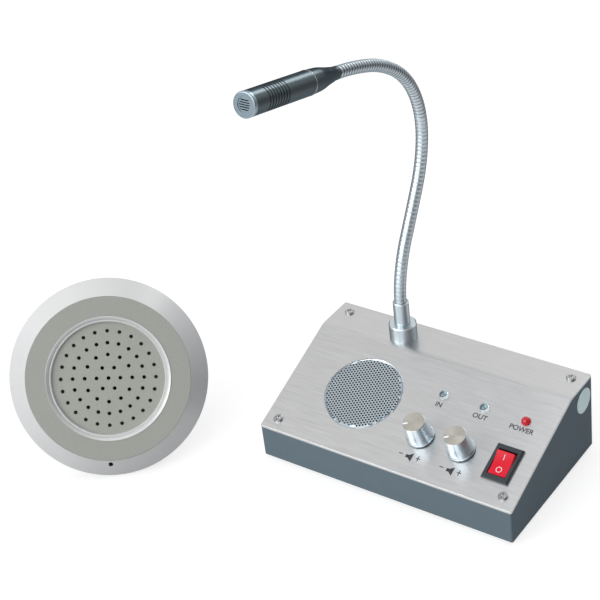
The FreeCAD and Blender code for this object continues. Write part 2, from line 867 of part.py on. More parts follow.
def make_mic_tail():
    """The sleeve over the gooseneck's end and the cone that the barrel is pushed on to."""
    bore = neck_radius + socket_gap
    bore_end = mic_sleeve_end - 1
    shoulder, plug_end = mic_seam, mic_seam + mic_cap_overlap
    plug = mic_barrel_radius - mic_wall - mic_cap_fit
    plug_bore = mic_barrel_radius - 2 * mic_wall
    return turned([
        (bore, mic_sleeve_start), (mic_sleeve_radius, mic_sleeve_start),
        (mic_sleeve_radius, mic_sleeve_end), (mic_barrel_radius, mic_cone_end),
        (mic_barrel_radius, shoulder), (mic_barrel_radius - mic_seam_depth, shoulder),
        (mic_barrel_radius - mic_seam_depth, shoulder + mic_seam_gap), (plug, shoulder + mic_seam_gap),
        (plug, plug_end), (plug_bore, plug_end),
        (plug_bore, mic_cone_end), (neck_bore, bore_end + 3), (neck_bore, bore_end), (bore, bore_end)])


def make_mic_barrel():
    start = mic_seam + mic_seam_gap
    barrel = ring(mic_barrel_radius, mic_barrel_radius - mic_wall, start, mic_barrel_end)
    for number in range(mic_groove_count):
        low = mic_groove_first + mic_groove_pitch * number
        barrel = barrel.cut(
            ring(mic_barrel_radius + 1, mic_barrel_radius - mic_groove_depth, low, low + mic_groove_width))
    return barrel


def make_mic_cap():
    """A cap with a plug that the barrel's end slides over, and a seat for the grille."""
    plug = mic_barrel_radius - mic_wall - mic_cap_fit
    plug_bore = plug - mic_cap_plug_wall
    plug_start = mic_barrel_end - mic_cap_overlap
    grille_back = mic_length - mic_grille_recess - mic_grille_thickness
    hole = mic_grille_radius + thread_clearance
    ledge_back = grille_back - mic_grille_ledge
    cap = turned([
        (plug_bore, plug_start), (plug, plug_start), (plug, mic_barrel_end),
        (mic_cap_radius, mic_barrel_end), (mic_cap_radius, mic_length), (hole, mic_length),
        (hole, grille_back), (hole - mic_grille_seat, grille_back),
        (hole - mic_grille_seat, ledge_back), (plug_bore, ledge_back)])
    rim = [edge for edge in level_edges(cap, mic_length) if edge.Curve.Radius > mic_grille_radius + 1]
    return cap.makeFillet(mic_cap_round, rim)


def make_mic_grille():
    radius = mic_grille_radius
    high = mic_length - mic_grille_recess
    grille = cylinder(radius, high - mic_grille_thickness, high)
    count = int((radius - mic_grille_seat) / mic_grille_pitch)
    for row in range(-count, count + 1):
        y = row * mic_grille_pitch
        half = math.sqrt(radius ** 2 - y ** 2) - mic_grille_seat - 0.2
        width = (y - mic_grille_slot / 2, y + mic_grille_slot / 2)
        grille = grille.cut(block((-half, half), width, (high - 9, high + 1)))
    return grille


def make_mic_capsule():
    back = mic_length - mic_grille_recess - mic_grille_thickness - mic_grille_ledge
    plug_bore = mic_barrel_radius - mic_wall - mic_cap_fit - mic_cap_plug_wall
    return cylinder(plug_bore - thread_clearance, back - mic_capsule_length, back)


# ---- Circuit board and sockets ----

board_low = plate_thickness + board_height
board_top = board_low + board_thickness


def standoff_places():
    dx, dy = board_length / 2 - standoff_inset, board_width / 2 - standoff_inset
    return [(board_x + sx * dx, board_y + sy * dy) for sx in (-1, 1) for sy in (-1, 1)]


def make_board():
    return block((board_x - board_length / 2, board_x + board_length / 2),
                 (board_y - board_width / 2, board_y + board_width / 2), (board_low, board_top))


def make_standoffs():
    return [cylinder(standoff_radius, plate_thickness, board_low, x, y) for x, y in standoff_places()]


def make_chip():
    x, y = board_x - board_length / 4, board_y
    return block((x - chip_length / 2, x + chip_length / 2), (y - chip_width, y),
                 (board_top, board_top + chip_height))


def make_heat_sink():
    """A finned block that the chip's back is bolted to."""
    x, y = board_x - board_length / 4, board_y
    half = sink_length / 2
    sink = block((x - half, x + half), (y, y + sink_base), (board_top, board_top + sink_height))
    step = (sink_length - sink_fin_thickness) / (sink_fin_count - 1)
    for number in range(sink_fin_count):
        left = x - half + step * number
        fin = block((left, left + sink_fin_thickness), (y + sink_base, y + sink_base + sink_fin_depth),
                    (board_top, board_top + sink_height))
        sink = sink.fuse(fin)
    return sink.removeSplitter()


def make_capacitors():
    first = board_x + standoff_inset
    cans = []
    for number, (radius, height) in enumerate(zip(capacitor_radii, capacitor_heights)):
        x = first + capacitor_pitch * number
        cans.append(cylinder(radius, board_top, board_top + height, x, board_y - standoff_inset))
    return cans


def rear_socket(x, shape):
    """Turn a socket that is built along Z, its panel face at z = 0, to look out of the back wall."""
    turn = Rotation(Vector(1, 0, 0), -90)
    place = Placement(Vector(x, console_depth - case_wall, socket_z), turn)
    return framed(shape, place)


def make_power_jack():
    half = power_jack_width / 2
    nose_end = case_wall + jack_nose_length
    body = block((-half, half), (-half, half), (-power_jack_depth, 0))
    body = body.fuse(cylinder(power_jack_nose_radius, 0, nose_end)).removeSplitter()
    body = body.cut(cylinder(power_jack_bore, nose_end - power_jack_bore_depth, nose_end + 1))
    pin = cylinder(power_jack_pin_radius, nose_end - power_jack_bore_depth - 1, nose_end - 1)
    return [rear_socket(power_jack_x, body.cut(pin)), rear_socket(power_jack_x, pin)]


def make_unit_jack():
    nose_end = case_wall + jack_nose_length
    body = cylinder(unit_jack_body_radius, -unit_jack_depth, 0)
    body = body.fuse(cylinder(unit_jack_nose_radius, 0, nose_end)).removeSplitter()
    bore = cylinder(unit_jack_bore, nose_end - unit_jack_bore_depth, nose_end + 1)
    return rear_socket(unit_jack_x, body.cut(bore))


def make_side_label():
    return Part.makeCylinder(
        label_radius, label_thickness, Vector(console_width / 2, label_y, label_z), Vector(1, 0, 0))


# ---- Outside unit, built with its face plane at z = 0 and its bottom at -y ----

def outside_frame():
    """Stand the unit on its rim, leaning back."""
    lean = math.radians(outside_unit_lean)
    height = rim_radius * math.cos(lean) + rim_back * math.sin(lean)
    turn = Rotation(Vector(0, 0, 1), outside_unit_turn)
    tip = Rotation(Vector(1, 0, 0), 90 - outside_unit_lean)
    roll = Rotation(Vector(0, 0, 1), outside_unit_roll)
    place = turn.multiply(tip).multiply(roll)
    return Placement(Vector(outside_unit_x, outside_unit_y, height), place)


def cone_radius(depth):
    """Radius of the bezel's bevel at a depth behind the face plane."""
    return face_radius + (rim_radius - face_radius) * depth / rim_front


def bevel_depth(radius):
    """Depth of the bezel's bevel at a radius, behind the face plane."""
    return (radius - face_radius) * rim_front / (rim_radius - face_radius)


def boss_places():
    angles = [math.radians(45 + 360 / boss_count * number) for number in range(boss_count)]
    return [(boss_circle * math.cos(a), boss_circle * math.sin(a)) for a in angles]


cover_floor = cover_depth - cover_wall
outer_mic_seat = bevel_depth(outer_mic_circle + outer_mic_radius + part_clearance) + outer_mic_wall


def make_outer_bezel():
    seat = cover_radius - cover_wall
    step = rim_back - cover_edge
    body = turned([
        (face_radius, 0), (rim_radius, -rim_front), (rim_radius, -rim_back), (seat, -rim_back),
        (seat, -step), (cone_radius(step) - bezel_wall, -step),
        (cone_radius(ledge_depth) - bezel_wall, -ledge_depth), (ledge_radius, -ledge_depth),
        (ledge_radius, -face_thickness), (face_radius, -face_thickness)])
    for x, y in boss_places():
        body = body.fuse(cylinder(boss_radius, -cover_floor, -face_thickness, x, y))
    body = body.removeSplitter()
    thread, screw_end = screw_radius + thread_clearance, -cover_floor + outer_screw_length
    for x, y in boss_places():
        body = body.cut(cylinder(thread, -cover_floor - 1, screw_end, x, y))
    pocket = cylinder(outer_mic_radius + part_clearance, -rim_back, -outer_mic_seat, 0, -outer_mic_circle)
    hole = cylinder(outer_mic_hole_radius, -rim_back, 5, 0, -outer_mic_circle)
    return body.cut(pocket.fuse(hole))


def make_face_ring():
    return ring(face_radius - part_clearance, face_hole_radius + part_clearance, -face_thickness, 0)


def make_trim_ring():
    """The trim that steps in to the grille and clamps the face ring from behind."""
    foot = -trim_depth + trim_edge
    land = foot + trim_lip_height
    land_radius = trim_inner_radius + trim_lip_width
    return turned([
        (face_hole_radius, trim_proud - 0.2), (face_hole_radius - 0.3, trim_proud),
        (land_radius + trim_land_width, land), (land_radius, land),
        (trim_inner_radius, foot), (trim_inner_radius, -trim_depth),
        (trim_foot_radius, -trim_depth), (trim_foot_radius, -face_thickness),
        (face_hole_radius, -face_thickness)])


def make_grille_plate():
    plate = cylinder(plate_radius, -trim_depth - outer_plate_thickness, -trim_depth)
    tool = cylinder(sound_hole_radius, -trim_depth - 9, -trim_depth + 9)
    holes = [tool]
    for number, count in enumerate(sound_hole_counts):
        radius = sound_hole_pitch * (number + 1)
        lead = 120 if count == 6 else 90
        for place in range(count):
            angle = math.radians(lead - 360 / count * place)
            holes.append(moved(tool, radius * math.cos(angle), radius * math.sin(angle)))
    return plate.cut(Part.makeCompound(holes))


outer_speaker_face = -trim_depth - outer_plate_thickness


def make_outer_mic():
    back = -outer_mic_seat - outer_mic_length
    return cylinder(outer_mic_radius, back, -outer_mic_seat, 0, -outer_mic_circle)


def make_back_cover():
    """The cover's wall and its floor, which is bonded inside the wall's end."""
    inner = cover_radius - cover_wall
    wall = turned([
        (inner, -cover_depth), (cover_radius - cover_chamfer, -cover_depth),
        (cover_radius, -cover_depth + cover_chamfer), (cover_radius, -rim_back), (inner, -rim_back)])
    wall = wall.cut(gland_cylinder(gland_radius + part_clearance, inner - 9, cover_radius + 9))
    base = cylinder(inner, -cover_depth, -cover_floor)
    recess_top = -cover_depth + outer_head_height
    for x, y in boss_places():
        base = base.cut(cylinder(screw_radius + screw_clearance, -cover_depth - 1, 0, x, y))
        base = base.cut(cylinder(
            outer_head_radius + screw_clearance, -cover_depth - 1, recess_top, x, y))
    return [wall, base]


def make_cover_screws():
    length = cover_wall - outer_head_height + outer_screw_length - 1
    one = flipped(screw(outer_head_radius, outer_head_height, length))
    return [moved(one, x, y, -cover_depth + outer_head_height) for x, y in boss_places()]


def gland_cylinder(radius, start, end):
    """A cylinder that runs out through the cover's wall at the unit's bottom."""
    return Part.makeCylinder(radius, end - start, Vector(0, -start, -gland_depth), Vector(0, -1, 0))


def make_cable_gland():
    inner = math.sqrt((cover_radius - cover_wall) ** 2 - gland_radius ** 2)
    body = gland_cylinder(gland_radius, inner - gland_flange, cover_radius + gland_flange)
    collar = gland_cylinder(gland_flange_radius, inner - gland_flange, inner - part_clearance)
    lip = gland_cylinder(gland_flange_radius, cover_radius, cover_radius + gland_flange)
    return body.fuse([collar, lip]).removeSplitter().cut(gland_cylinder(gland_bore, 0, cover_radius + 9))


# ---- All nodes ----

def console_nodes():
    left_x, right_x, switch_x = column_x
    arcs = neck_arcs()
    nodes = {
        "case_shell": make_case_shell(),
        "bottom_plate": [make_bottom_plate()],
        "case_screws": make_case_screws(),
        "rubber_feet": make_rubber_feet(),
        "top_panel": [make_top_panel()],
        "panel_screws": at_panel_screws(
            lambda side: screw(panel_head_radius, panel_head_height, panel_screw_length)),
        "panel_nut_blocks": at_panel_screws(make_nut_block),
        "speaker_mesh": [in_speaker(make_speaker_mesh())],
        "speaker_frame": [in_speaker(make_basket(mesh_radius, basket_depth))],
        "speaker_cone": [in_speaker(make_cone(mesh_radius, cone_depth, basket_depth))],
        "speaker_magnet": [in_speaker(make_magnet(magnet_height, basket_depth))],
        "speaker_clips": make_speaker_clips(),
        "volume_pots": [on_slope(make_pot(), x, knob_s) for x in (left_x, right_x)],
        "pot_nuts": [on_slope(make_pot_nut(), x, knob_s) for x in (left_x, right_x)],
        "left_pot_shaft": [on_slope(make_pot_shaft(), left_x, knob_s)],
        "left_knob": [on_slope(make_knob(), left_x, knob_s)],
        "right_pot_shaft": [on_slope(make_pot_shaft(), right_x, knob_s)],
        "right_knob": [on_slope(make_knob(), right_x, knob_s)],
        "switch_housing": [on_slope(make_switch_housing(), switch_x, switch_s)],
        "rocker": [on_slope(make_rocker(), switch_x, switch_s)],
        "switch_terminals": [
            on_slope(blade, switch_x, switch_s) for blade in make_switch_terminals()],
        "signal_lamps": [on_slope(make_lamp(), x, lamp_s) for x in (left_x, right_x)],
        "power_lamp": [on_slope(make_lamp(), switch_x, lamp_s)],
        "lamp_holders": [on_slope(make_lamp_holder(), x, lamp_s) for x in column_x],
        "neck_socket": [on_strip(make_neck_socket(), neck_x, neck_y)],
        "neck_nut": [on_strip(make_neck_nut(), neck_x, neck_y)],
        "neck_ferrule": [on_strip(make_neck_ferrule(), neck_x, neck_y)],
        "neck_segment_1": [make_first_neck_segment(arcs[0], arcs[1])],
        "circuit_board": [make_board()],
        "board_standoffs": make_standoffs(),
        "amplifier_chip": [make_chip()],
        "heat_sink": [make_heat_sink()],
        "capacitors": make_capacitors(),
        "power_jack": make_power_jack(),
        "outside_unit_jack": [make_unit_jack()],
        "side_label": [make_side_label()],
    }
    for number in range(1, len(neck_turns) + 1):
        nodes[f"neck_segment_{number + 1}"] = [make_neck_segment(arcs[number], arcs[number + 1])]
    mic_pieces = {
        "mic_tail": make_mic_tail(), "mic_barrel": make_mic_barrel(), "mic_cap": make_mic_cap(),
        "mic_grille": make_mic_grille(), "mic_capsule": make_mic_capsule()}
    for name, shape in mic_pieces.items():
        nodes[name] = [framed(shape, microphone_frame())]
    return nodes


def outside_nodes():
    face = outer_speaker_face
    return {
        "outer_bezel": [make_outer_bezel()],
        "face_ring": [make_face_ring()],
        "trim_ring": [make_trim_ring()],
        "grille_plate": [make_grille_plate()],
        "outer_speaker_frame": [moved(make_basket(outer_basket_radius, outer_basket_depth), z=face)],
        "outer_speaker_cone": [moved(
            make_cone(outer_basket_radius, outer_cone_depth, outer_basket_depth), z=face)],
        "outer_speaker_magnet": [moved(
            make_magnet(outer_magnet_height, outer_basket_depth), z=face)],
        "outer_mic_capsule": [make_outer_mic()],
        "back_cover": make_back_cover(),
        "back_cover_screws": make_cover_screws(),
        "mounting_pad": [ring(
            pad_outer_radius, pad_inner_radius, -cover_depth - pad_thickness, -cover_depth)],
        "cable_gland": [make_cable_gland()],
    }


def main():
    os.makedirs("parts", exist_ok=True)
    frames = ((console_nodes(), console_frame), (outside_nodes(), outside_frame()))
    whole = FreeCAD.BoundBox()
    for nodes, frame in frames:
        for name, solids in nodes.items():
            shape = group([framed(solid, frame) for solid in solids])
            shape.exportStep(f"parts/{name}.step")
            whole.add(shape.BoundBox)
    print("box", whole)


main()
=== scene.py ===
"""The finish of a teller window intercom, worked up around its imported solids."""
import math
from functools import partial

import bmesh
import bpy
from mathutils import Matrix, Vector


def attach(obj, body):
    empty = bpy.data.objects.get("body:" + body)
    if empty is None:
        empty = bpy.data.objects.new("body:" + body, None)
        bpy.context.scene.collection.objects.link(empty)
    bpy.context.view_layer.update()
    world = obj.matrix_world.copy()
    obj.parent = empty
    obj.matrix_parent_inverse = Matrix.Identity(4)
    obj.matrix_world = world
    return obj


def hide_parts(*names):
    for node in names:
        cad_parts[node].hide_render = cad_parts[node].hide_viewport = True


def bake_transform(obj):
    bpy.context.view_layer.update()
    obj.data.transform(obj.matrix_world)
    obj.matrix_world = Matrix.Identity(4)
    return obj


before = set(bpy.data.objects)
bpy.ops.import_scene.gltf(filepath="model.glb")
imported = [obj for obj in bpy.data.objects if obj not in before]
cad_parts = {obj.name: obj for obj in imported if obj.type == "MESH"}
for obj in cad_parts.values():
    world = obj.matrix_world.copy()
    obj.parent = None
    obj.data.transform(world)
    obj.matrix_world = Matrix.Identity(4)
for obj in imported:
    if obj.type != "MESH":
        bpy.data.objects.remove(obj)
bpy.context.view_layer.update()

# ---- Sizes of the solids, in millimetres; a name with _S is a place up the slope from its front edge ----
CONSOLE_PLACE = (61.6, -19.9, 2.0)
FRONT_HEIGHT, TOP_HEIGHT, BEND_Y = 20.1, 45.8, 66.0
SLOPE_ANGLE = math.atan2(TOP_HEIGHT - FRONT_HEIGHT, BEND_Y)
SPEAKER_X = -31.2
SPEAKER_S = math.hypot(TOP_HEIGHT - FRONT_HEIGHT, BEND_Y) / 2 + 1.79
COLUMNS_X = (12.0, 36.4, 60.8)
KNOB_S, LAMP_S, SWITCH_S = 23.8, 50.4, 23.3
NECK_X, NECK_Y = -29.3, 74.5
NECK_RADIUS, FERRULE_TOP = 3.35, 23.5
KNOB_FACE_HEIGHT = 14.2
LEAD_LENGTH, LEAD_TURN = 9.5, -11.0
SEGMENT_LENGTH = 27.2
NECK_TURNS = (-20.5, 1.5, 22.0, 30.5, 28.5, 17.0, 8.0)
UNIT_PLACE = (-87.4, -55.3)
UNIT_TURN, UNIT_LEAN, UNIT_ROLL = 42.9, 30.6, -8.3
RIM_RADIUS, RIM_BACK = 54.2, 13.0
TRIM_STEP, TRIM_BLUR = (31.2, 31.9), 0.06

TO_METRES = Matrix.Scale(0.001, 4)


def place(x, y, z):
    return Matrix.Translation((x, y, z))


def turn(degrees, axis):
    return Matrix.Rotation(math.radians(degrees), 4, axis)


CONSOLE = TO_METRES @ place(*CONSOLE_PLACE)
SLOPE = CONSOLE @ place(0, 0, FRONT_HEIGHT) @ Matrix.Rotation(SLOPE_ANGLE, 4, "X")
lean = math.radians(UNIT_LEAN)
unit_height = RIM_RADIUS * math.cos(lean) + RIM_BACK * math.sin(lean)
UNIT = (TO_METRES @ place(*UNIT_PLACE, unit_height) @ turn(UNIT_TURN, "Z")
        @ turn(90 - UNIT_LEAN, "X") @ turn(UNIT_ROLL, "Z"))


# ---- Nodes and objects ----

def add_node(tree, kind, inputs=None, **settings):
    """Add a node; inputs maps a socket's name or number to a value or to another node's output."""
    node = tree.nodes.new(kind)
    for key, value in settings.items():
        setattr(node, key, value)
    for key, value in (inputs or {}).items():
        if isinstance(value, bpy.types.NodeSocket):
            tree.links.new(value, node.inputs[key])
        else:
            node.inputs[key].default_value = value
    return node


def ramp(tree, factor, stops, interpolation="LINEAR"):
    """A colour ramp; stops are (place, grey or colour)."""
    node = add_node(tree, "ShaderNodeValToRGB", {"Fac": factor})
    node.color_ramp.interpolation = interpolation
    elements = node.color_ramp.elements
    while len(elements) < len(stops):
        elements.new(0.5)
    for element, (position, shade) in zip(elements, stops):
        element.position = position
        colour = shade if isinstance(shade, tuple) else (shade, shade, shade)
        element.color = (*colour, 1.0)
    return node.outputs["Color"]


def math_node(tree, operation, *values):
    """A sum on up to three values, each a number or another node's output."""
    return add_node(tree, "ShaderNodeMath", dict(enumerate(values)), operation=operation).outputs["Value"]


def vector_node(tree, operation, *values, output="Vector"):
    """A sum on vectors; its output is a vector, or a single value where output says Value."""
    node = add_node(tree, "ShaderNodeVectorMath", dict(enumerate(values)), operation=operation)
    return node.outputs[output]


def combine(tree, parts):
    """A vector from up to three parts, each under its number."""
    return add_node(tree, "ShaderNodeCombineXYZ", parts).outputs[0]


def geometry_node(tree, kind, inputs=None, **settings):
    """The first output of a new geometry node."""
    return add_node(tree, f"GeometryNode{kind}", inputs, **settings).outputs[0]


def noise_node(tree, vector, scale, detail, **inputs):
    """Noise from 0 to 1 at a vector."""
    inputs = {"Vector": vector, "Scale": scale, "Detail": detail, **inputs}
    return add_node(tree, "ShaderNodeTexNoise", inputs).outputs["Fac"]


def add_object(name, data):
    thing = bpy.data.objects.new(name, data)
    bpy.context.scene.collection.objects.link(thing)
    return thing


def facing_share(tree, direction, towards, low, high):
    """0 to 1 as a direction comes within reach of another one."""
    dot = vector_node(tree, "DOT_PRODUCT", direction, tuple(Vector(towards).normalized()), output="Value")
    return smooth_share(tree, dot, (low, high), (0.0, 1.0))


def smooth_share(tree, value, source, result):
    """Take a value smoothly from the range source to the range result."""
    return add_node(tree, "ShaderNodeMapRange", {
        "Value": value, "From Min": source[0], "From Max": source[1],
        "To Min": result[0], "To Max": result[1]}, interpolation_type="SMOOTHSTEP").outputs["Result"]


def linear(red, green, blue):
    """The strengths of a colour given in display steps of 0 to 255."""
    steps = [c / 255 for c in (red, green, blue)]
    return tuple(c / 12.92 if c <= 0.04045 else ((c + 0.055) / 1.055) ** 2.4 for c in steps)


def mix_colours(tree, factor, first, second, kind="MIX"):
    """Two colours mixed or multiplied; each is three display steps or another node's output."""
    first, second = ((*linear(*colour), 1.0) if isinstance(colour, tuple) else colour
                     for colour in (first, second))
    return add_node(tree, "ShaderNodeMix", {0: factor, 6: first, 7: second},
                    data_type="RGBA", blend_type=kind).outputs[2]


def start_tree(kind, name, inputs, outputs):
    """A node group with named sockets: the tree, its two ends and the identifiers of its inputs."""
    tree = bpy.data.node_groups.new(name, kind)
    names = {}
    for label, socket_kind, default in inputs:
        socket = tree.interface.new_socket(label, in_out="INPUT", socket_type=f"NodeSocket{socket_kind}")
        if default is not None:
            socket.default_value = default
        names[label] = socket.identifier
    for label, socket_kind in outputs:
        tree.interface.new_socket(label, in_out="OUTPUT", socket_type=f"NodeSocket{socket_kind}")
    start, end = tree.nodes.new("NodeGroupInput"), tree.nodes.new("NodeGroupOutput")
    return tree, start.outputs, end.inputs, names


# ---- Camera, floor and lamps, in metres, degrees and watts ----

CAMERA_PLACE, CAMERA_TURN = (0.45975, -0.55948, 0.58198), (55.87286, 6.30601, 34.7)
SENSOR_WIDTH, CAMERA_LENS = 36.0, 100.479
ROOM_STRENGTH = 1.1
TELLER_WALL, BACK_RIGHT, RIGHT_WALL = (0.375, -0.927, 0), (0.71, 0.7, 0), (1.0, -0.2, 0.0)
RIGHT_WALL_DIMMING = -0.85
FLOOR_REACH, FLOOR_GLOW = 12.0, 0.72
MIRROR_CENTRE = (0.3, -0.45, 0.0)


def make_camera():
    """The view from the front right, a little from above."""
    data = bpy.data.cameras.new("camera")
    data.sensor_width, data.lens = SENSOR_WIDTH, CAMERA_LENS
    camera = add_object("camera", data)
    camera.location = CAMERA_PLACE
    camera.rotation_euler = [math.radians(angle) for angle in CAMERA_TURN]
    bpy.context.scene.camera = camera


def make_world():
    """A pale room, dim at the horizon but for the teller's wall, and dimmest past the right wall."""
    world = bpy.data.worlds.new("studio_room")
    world.use_nodes = True
    bpy.context.scene.world = world
    tree = world.node_tree
    tree.nodes.clear()
    direction = add_node(tree, "ShaderNodeTexCoord").outputs["Generated"]
    parts = add_node(tree, "ShaderNodeSeparateXYZ", {0: direction}).outputs
    height = math_node(tree, "MULTIPLY_ADD", parts["Z"], 0.5, 0.5)
    overhead = [(0.78, (1.0, 0.995, 0.95)), (0.92, (0.74, 0.73, 0.73)), (1.0, (0.66, 0.66, 0.67))]
    room = ramp(tree, height, [
        (0.0, 0.3), (0.5, (0.15, 0.165, 0.18)), (0.6, (0.28, 0.30, 0.32)),
        (0.68, (0.80, 0.81, 0.83))] + overhead)
    teller_side = ramp(tree, height, [
        (0.0, 0.4), (0.46, 0.6), (0.5, (1.34, 1.36, 1.38)), (0.6, (1.34, 1.36, 1.38)),
        (0.68, 1.0)] + overhead)
    back_right = ramp(tree, height, [
        (0.0, 0.3), (0.48, 0.3), (0.52, (0.44, 0.46, 0.48)), (0.6, (0.56, 0.58, 0.6)),
        (0.68, (0.92, 0.93, 0.95))] + overhead)
    level = vector_node(tree, "NORMALIZE", vector_node(tree, "MULTIPLY", direction, (1, 1, 0)))
    room = mix_colours(tree, facing_share(tree, level, TELLER_WALL, 0.3, 0.75), room, teller_side)
    room = mix_colours(tree, facing_share(tree, level, BACK_RIGHT, 0.85, 0.96), room, back_right)
    shadow = facing_share(tree, direction, RIGHT_WALL, 0.3, 0.85)
    dim = math_node(tree, "MULTIPLY_ADD", shadow, RIGHT_WALL_DIMMING, 1.0)
    lit = mix_colours(tree, 1.0, room, dim, "MULTIPLY")
    background = add_node(tree, "ShaderNodeBackground", {"Color": lit, "Strength": ROOM_STRENGTH})
    output = add_node(tree, "ShaderNodeOutputWorld")
    tree.links.new(background.outputs[0], output.inputs["Surface"])


def make_floor():
    """A pale floor that glows for the camera, and in mirrors near the front of the object."""
    mesh = bpy.data.meshes.new("floor")
    mesh.from_pydata([(x * FLOOR_REACH, y * FLOOR_REACH, 0) for x, y in ((-1, -1), (1, -1), (1, 1), (-1, 1))],
                     [], [(0, 1, 2, 3)])
    floor = add_object("floor", mesh)
    material = bpy.data.materials.new("pale_floor")
    material.use_nodes = True
    tree = material.node_tree
    shader = tree.nodes["Principled BSDF"]
    shader.inputs["Base Color"].default_value = (0.34, 0.34, 0.345, 1)
    shader.inputs["Roughness"].default_value = 0.9
    shader.inputs["Specular IOR Level"].default_value = 0.0
    rays = add_node(tree, "ShaderNodeLightPath").outputs
    mirrored = math_node(tree, "MAXIMUM", rays["Is Glossy Ray"], rays["Is Transmission Ray"])
    coords = add_node(tree, "ShaderNodeTexCoord").outputs["Object"]
    distance = vector_node(tree, "DISTANCE", coords, MIRROR_CENTRE, output="Value")
    near = smooth_share(tree, distance, (0.35, 0.95), (0.95, 0.06))
    seen = math_node(tree, "MAXIMUM", rays["Is Camera Ray"], math_node(tree, "MULTIPLY", mirrored, near))
    glow = math_node(tree, "MULTIPLY", seen, FLOOR_GLOW)
    tree.links.new(glow, shader.inputs["Emission Strength"])
    shader.inputs["Emission Color"].default_value = (1, 1, 1, 1)
    mesh.materials.append(material)


def make_lamp(name, location, target, size, watts, colour=(1, 1, 1)):
    data = bpy.data.lights.new(name, "AREA")
    data.shape = "RECTANGLE"
    data.size, data.size_y = size
    data.energy = watts
    data.color = colour
    lamp = add_object(name, data)
    lamp.location = location
    lamp.rotation_euler = (Vector(target) - Vector(location)).to_track_quat("-Z", "Y").to_euler()


bpy.context.scene.view_settings.view_transform = "Standard"
make_camera()
make_world()
make_floor()
make_lamp("left_softbox", (-0.7, -1.4, 0.95), (0, 0, 0.06), (1.1, 0.9), 11.5, (1.0, 0.995, 0.98))
make_lamp("front_softbox", (0.3, -1.05, 0.75), (0, 0, 0.05), (0.5, 0.5), 2.2, (0.95, 0.975, 1.0))
make_lamp("high_softbox", (0.0, -0.2, 1.5), (0, 0, 0.08), (0.7, 0.7), 2.4, (0.97, 0.985, 1.0))
make_lamp("back_softbox", (-0.045, 1.36, 0.88), (0.03, 0, 0.25), (0.5, 0.35), 2.5)


# ---- Effects that several finishes share ----

def start_effect(name, inputs, outputs):
    return start_tree("ShaderNodeTree", name, inputs, outputs)[:3]


def make_mottle_group():
    """Slow, cloudy change of shade: 1 is even, and Amount is how far it strays."""
    tree, given, out = start_effect(
        "mottle", [("Vector", "Vector", None), ("Scale", "Float", 60.0), ("Amount", "Float", 0.1)],
        [("Shade", "Float"), ("Mask", "Float")])
    noise = noise_node(tree, given["Vector"], given["Scale"], 4.0, Roughness=0.6)
    centred = math_node(tree, "SUBTRACT", noise, 0.5)
    shade = math_node(tree, "MULTIPLY_ADD", centred, given["Amount"], 1.0)
    tree.links.new(shade, out["Shade"])
    tree.links.new(noise, out["Mask"])
    return tree


def make_brushed_group():
    """Straight brushing along X: long fine lines over broader streaks."""
    tree, given, out = start_effect(
        "brushed_lines",
        [("Vector", "Vector", None), ("Fine", "Float", 9000.0), ("Broad", "Float", 900.0),
         ("Length", "Float", 60.0)],
        [("Lines", "Float"), ("Streaks", "Float")])
    parts = add_node(tree, "ShaderNodeSeparateXYZ", {0: given["Vector"]}).outputs
    for scale, label, detail in (("Fine", "Lines", 2.0), ("Broad", "Streaks", 4.0)):
        along = math_node(tree, "MULTIPLY", parts["X"], given["Length"])
        across = math_node(tree, "MULTIPLY", parts["Y"], given[scale])
        up = math_node(tree, "MULTIPLY", parts["Z"], given[scale])
        stretched = combine(tree, {0: along, 1: across, 2: up})
        tree.links.new(noise_node(tree, stretched, 1.0, detail, Roughness=0.6), out[label])
    return tree


def make_spun_group():
    """Rings about the Z axis of the vector, as a lathe or a spun pad leaves them, and painted reflection
    streaks round the axis.
    """
    tree, given, out = start_effect(
        "spun_rings", [("Vector", "Vector", None), ("Rings", "Float", 4000.0)],
        [("Rings", "Float"), ("Painted Streaks", "Float")])
    flat = vector_node(tree, "MULTIPLY", given["Vector"], (1, 1, 0))
    radius = vector_node(tree, "LENGTH", flat, output="Value")
    rings = add_node(tree, "ShaderNodeTexNoise", {
        "W": math_node(tree, "MULTIPLY", radius, given["Rings"]), "Scale": 1.0, "Detail": 3.0},
        noise_dimensions="1D").outputs["Fac"]
    tree.links.new(rings, out["Rings"])
    unit = vector_node(tree, "NORMALIZE", flat)
    # Painted reflection: the shade changes slowly round the axis.
    tree.links.new(noise_node(tree, unit, 2.5, 3.0), out["Painted Streaks"])
    return tree


def make_grain_group():
    """Fine pitted grain, as powder coat or moulded plastic has."""
    tree, given, out = start_effect(
        "fine_grain", [("Vector", "Vector", None), ("Scale", "Float", 2500.0)],
        [("Height", "Float"), ("Pits", "Float")])
    cells = add_node(tree, "ShaderNodeTexVoronoi", {
        "Vector": given["Vector"], "Scale": given["Scale"]}, feature="SMOOTH_F1").outputs["Distance"]
    noise = noise_node(tree, given["Vector"], given["Scale"], 3.0)
    tree.links.new(math_node(tree, "ADD", cells, noise), out["Height"])
    tree.links.new(noise, out["Pits"])
    return tree


mottle_group = make_mottle_group()
brushed_group = make_brushed_group()
spun_group = make_spun_group()
grain_group = make_grain_group()


def use_group(tree, group, inputs):
    return add_node(tree, "ShaderNodeGroup", inputs, node_tree=group).outputs


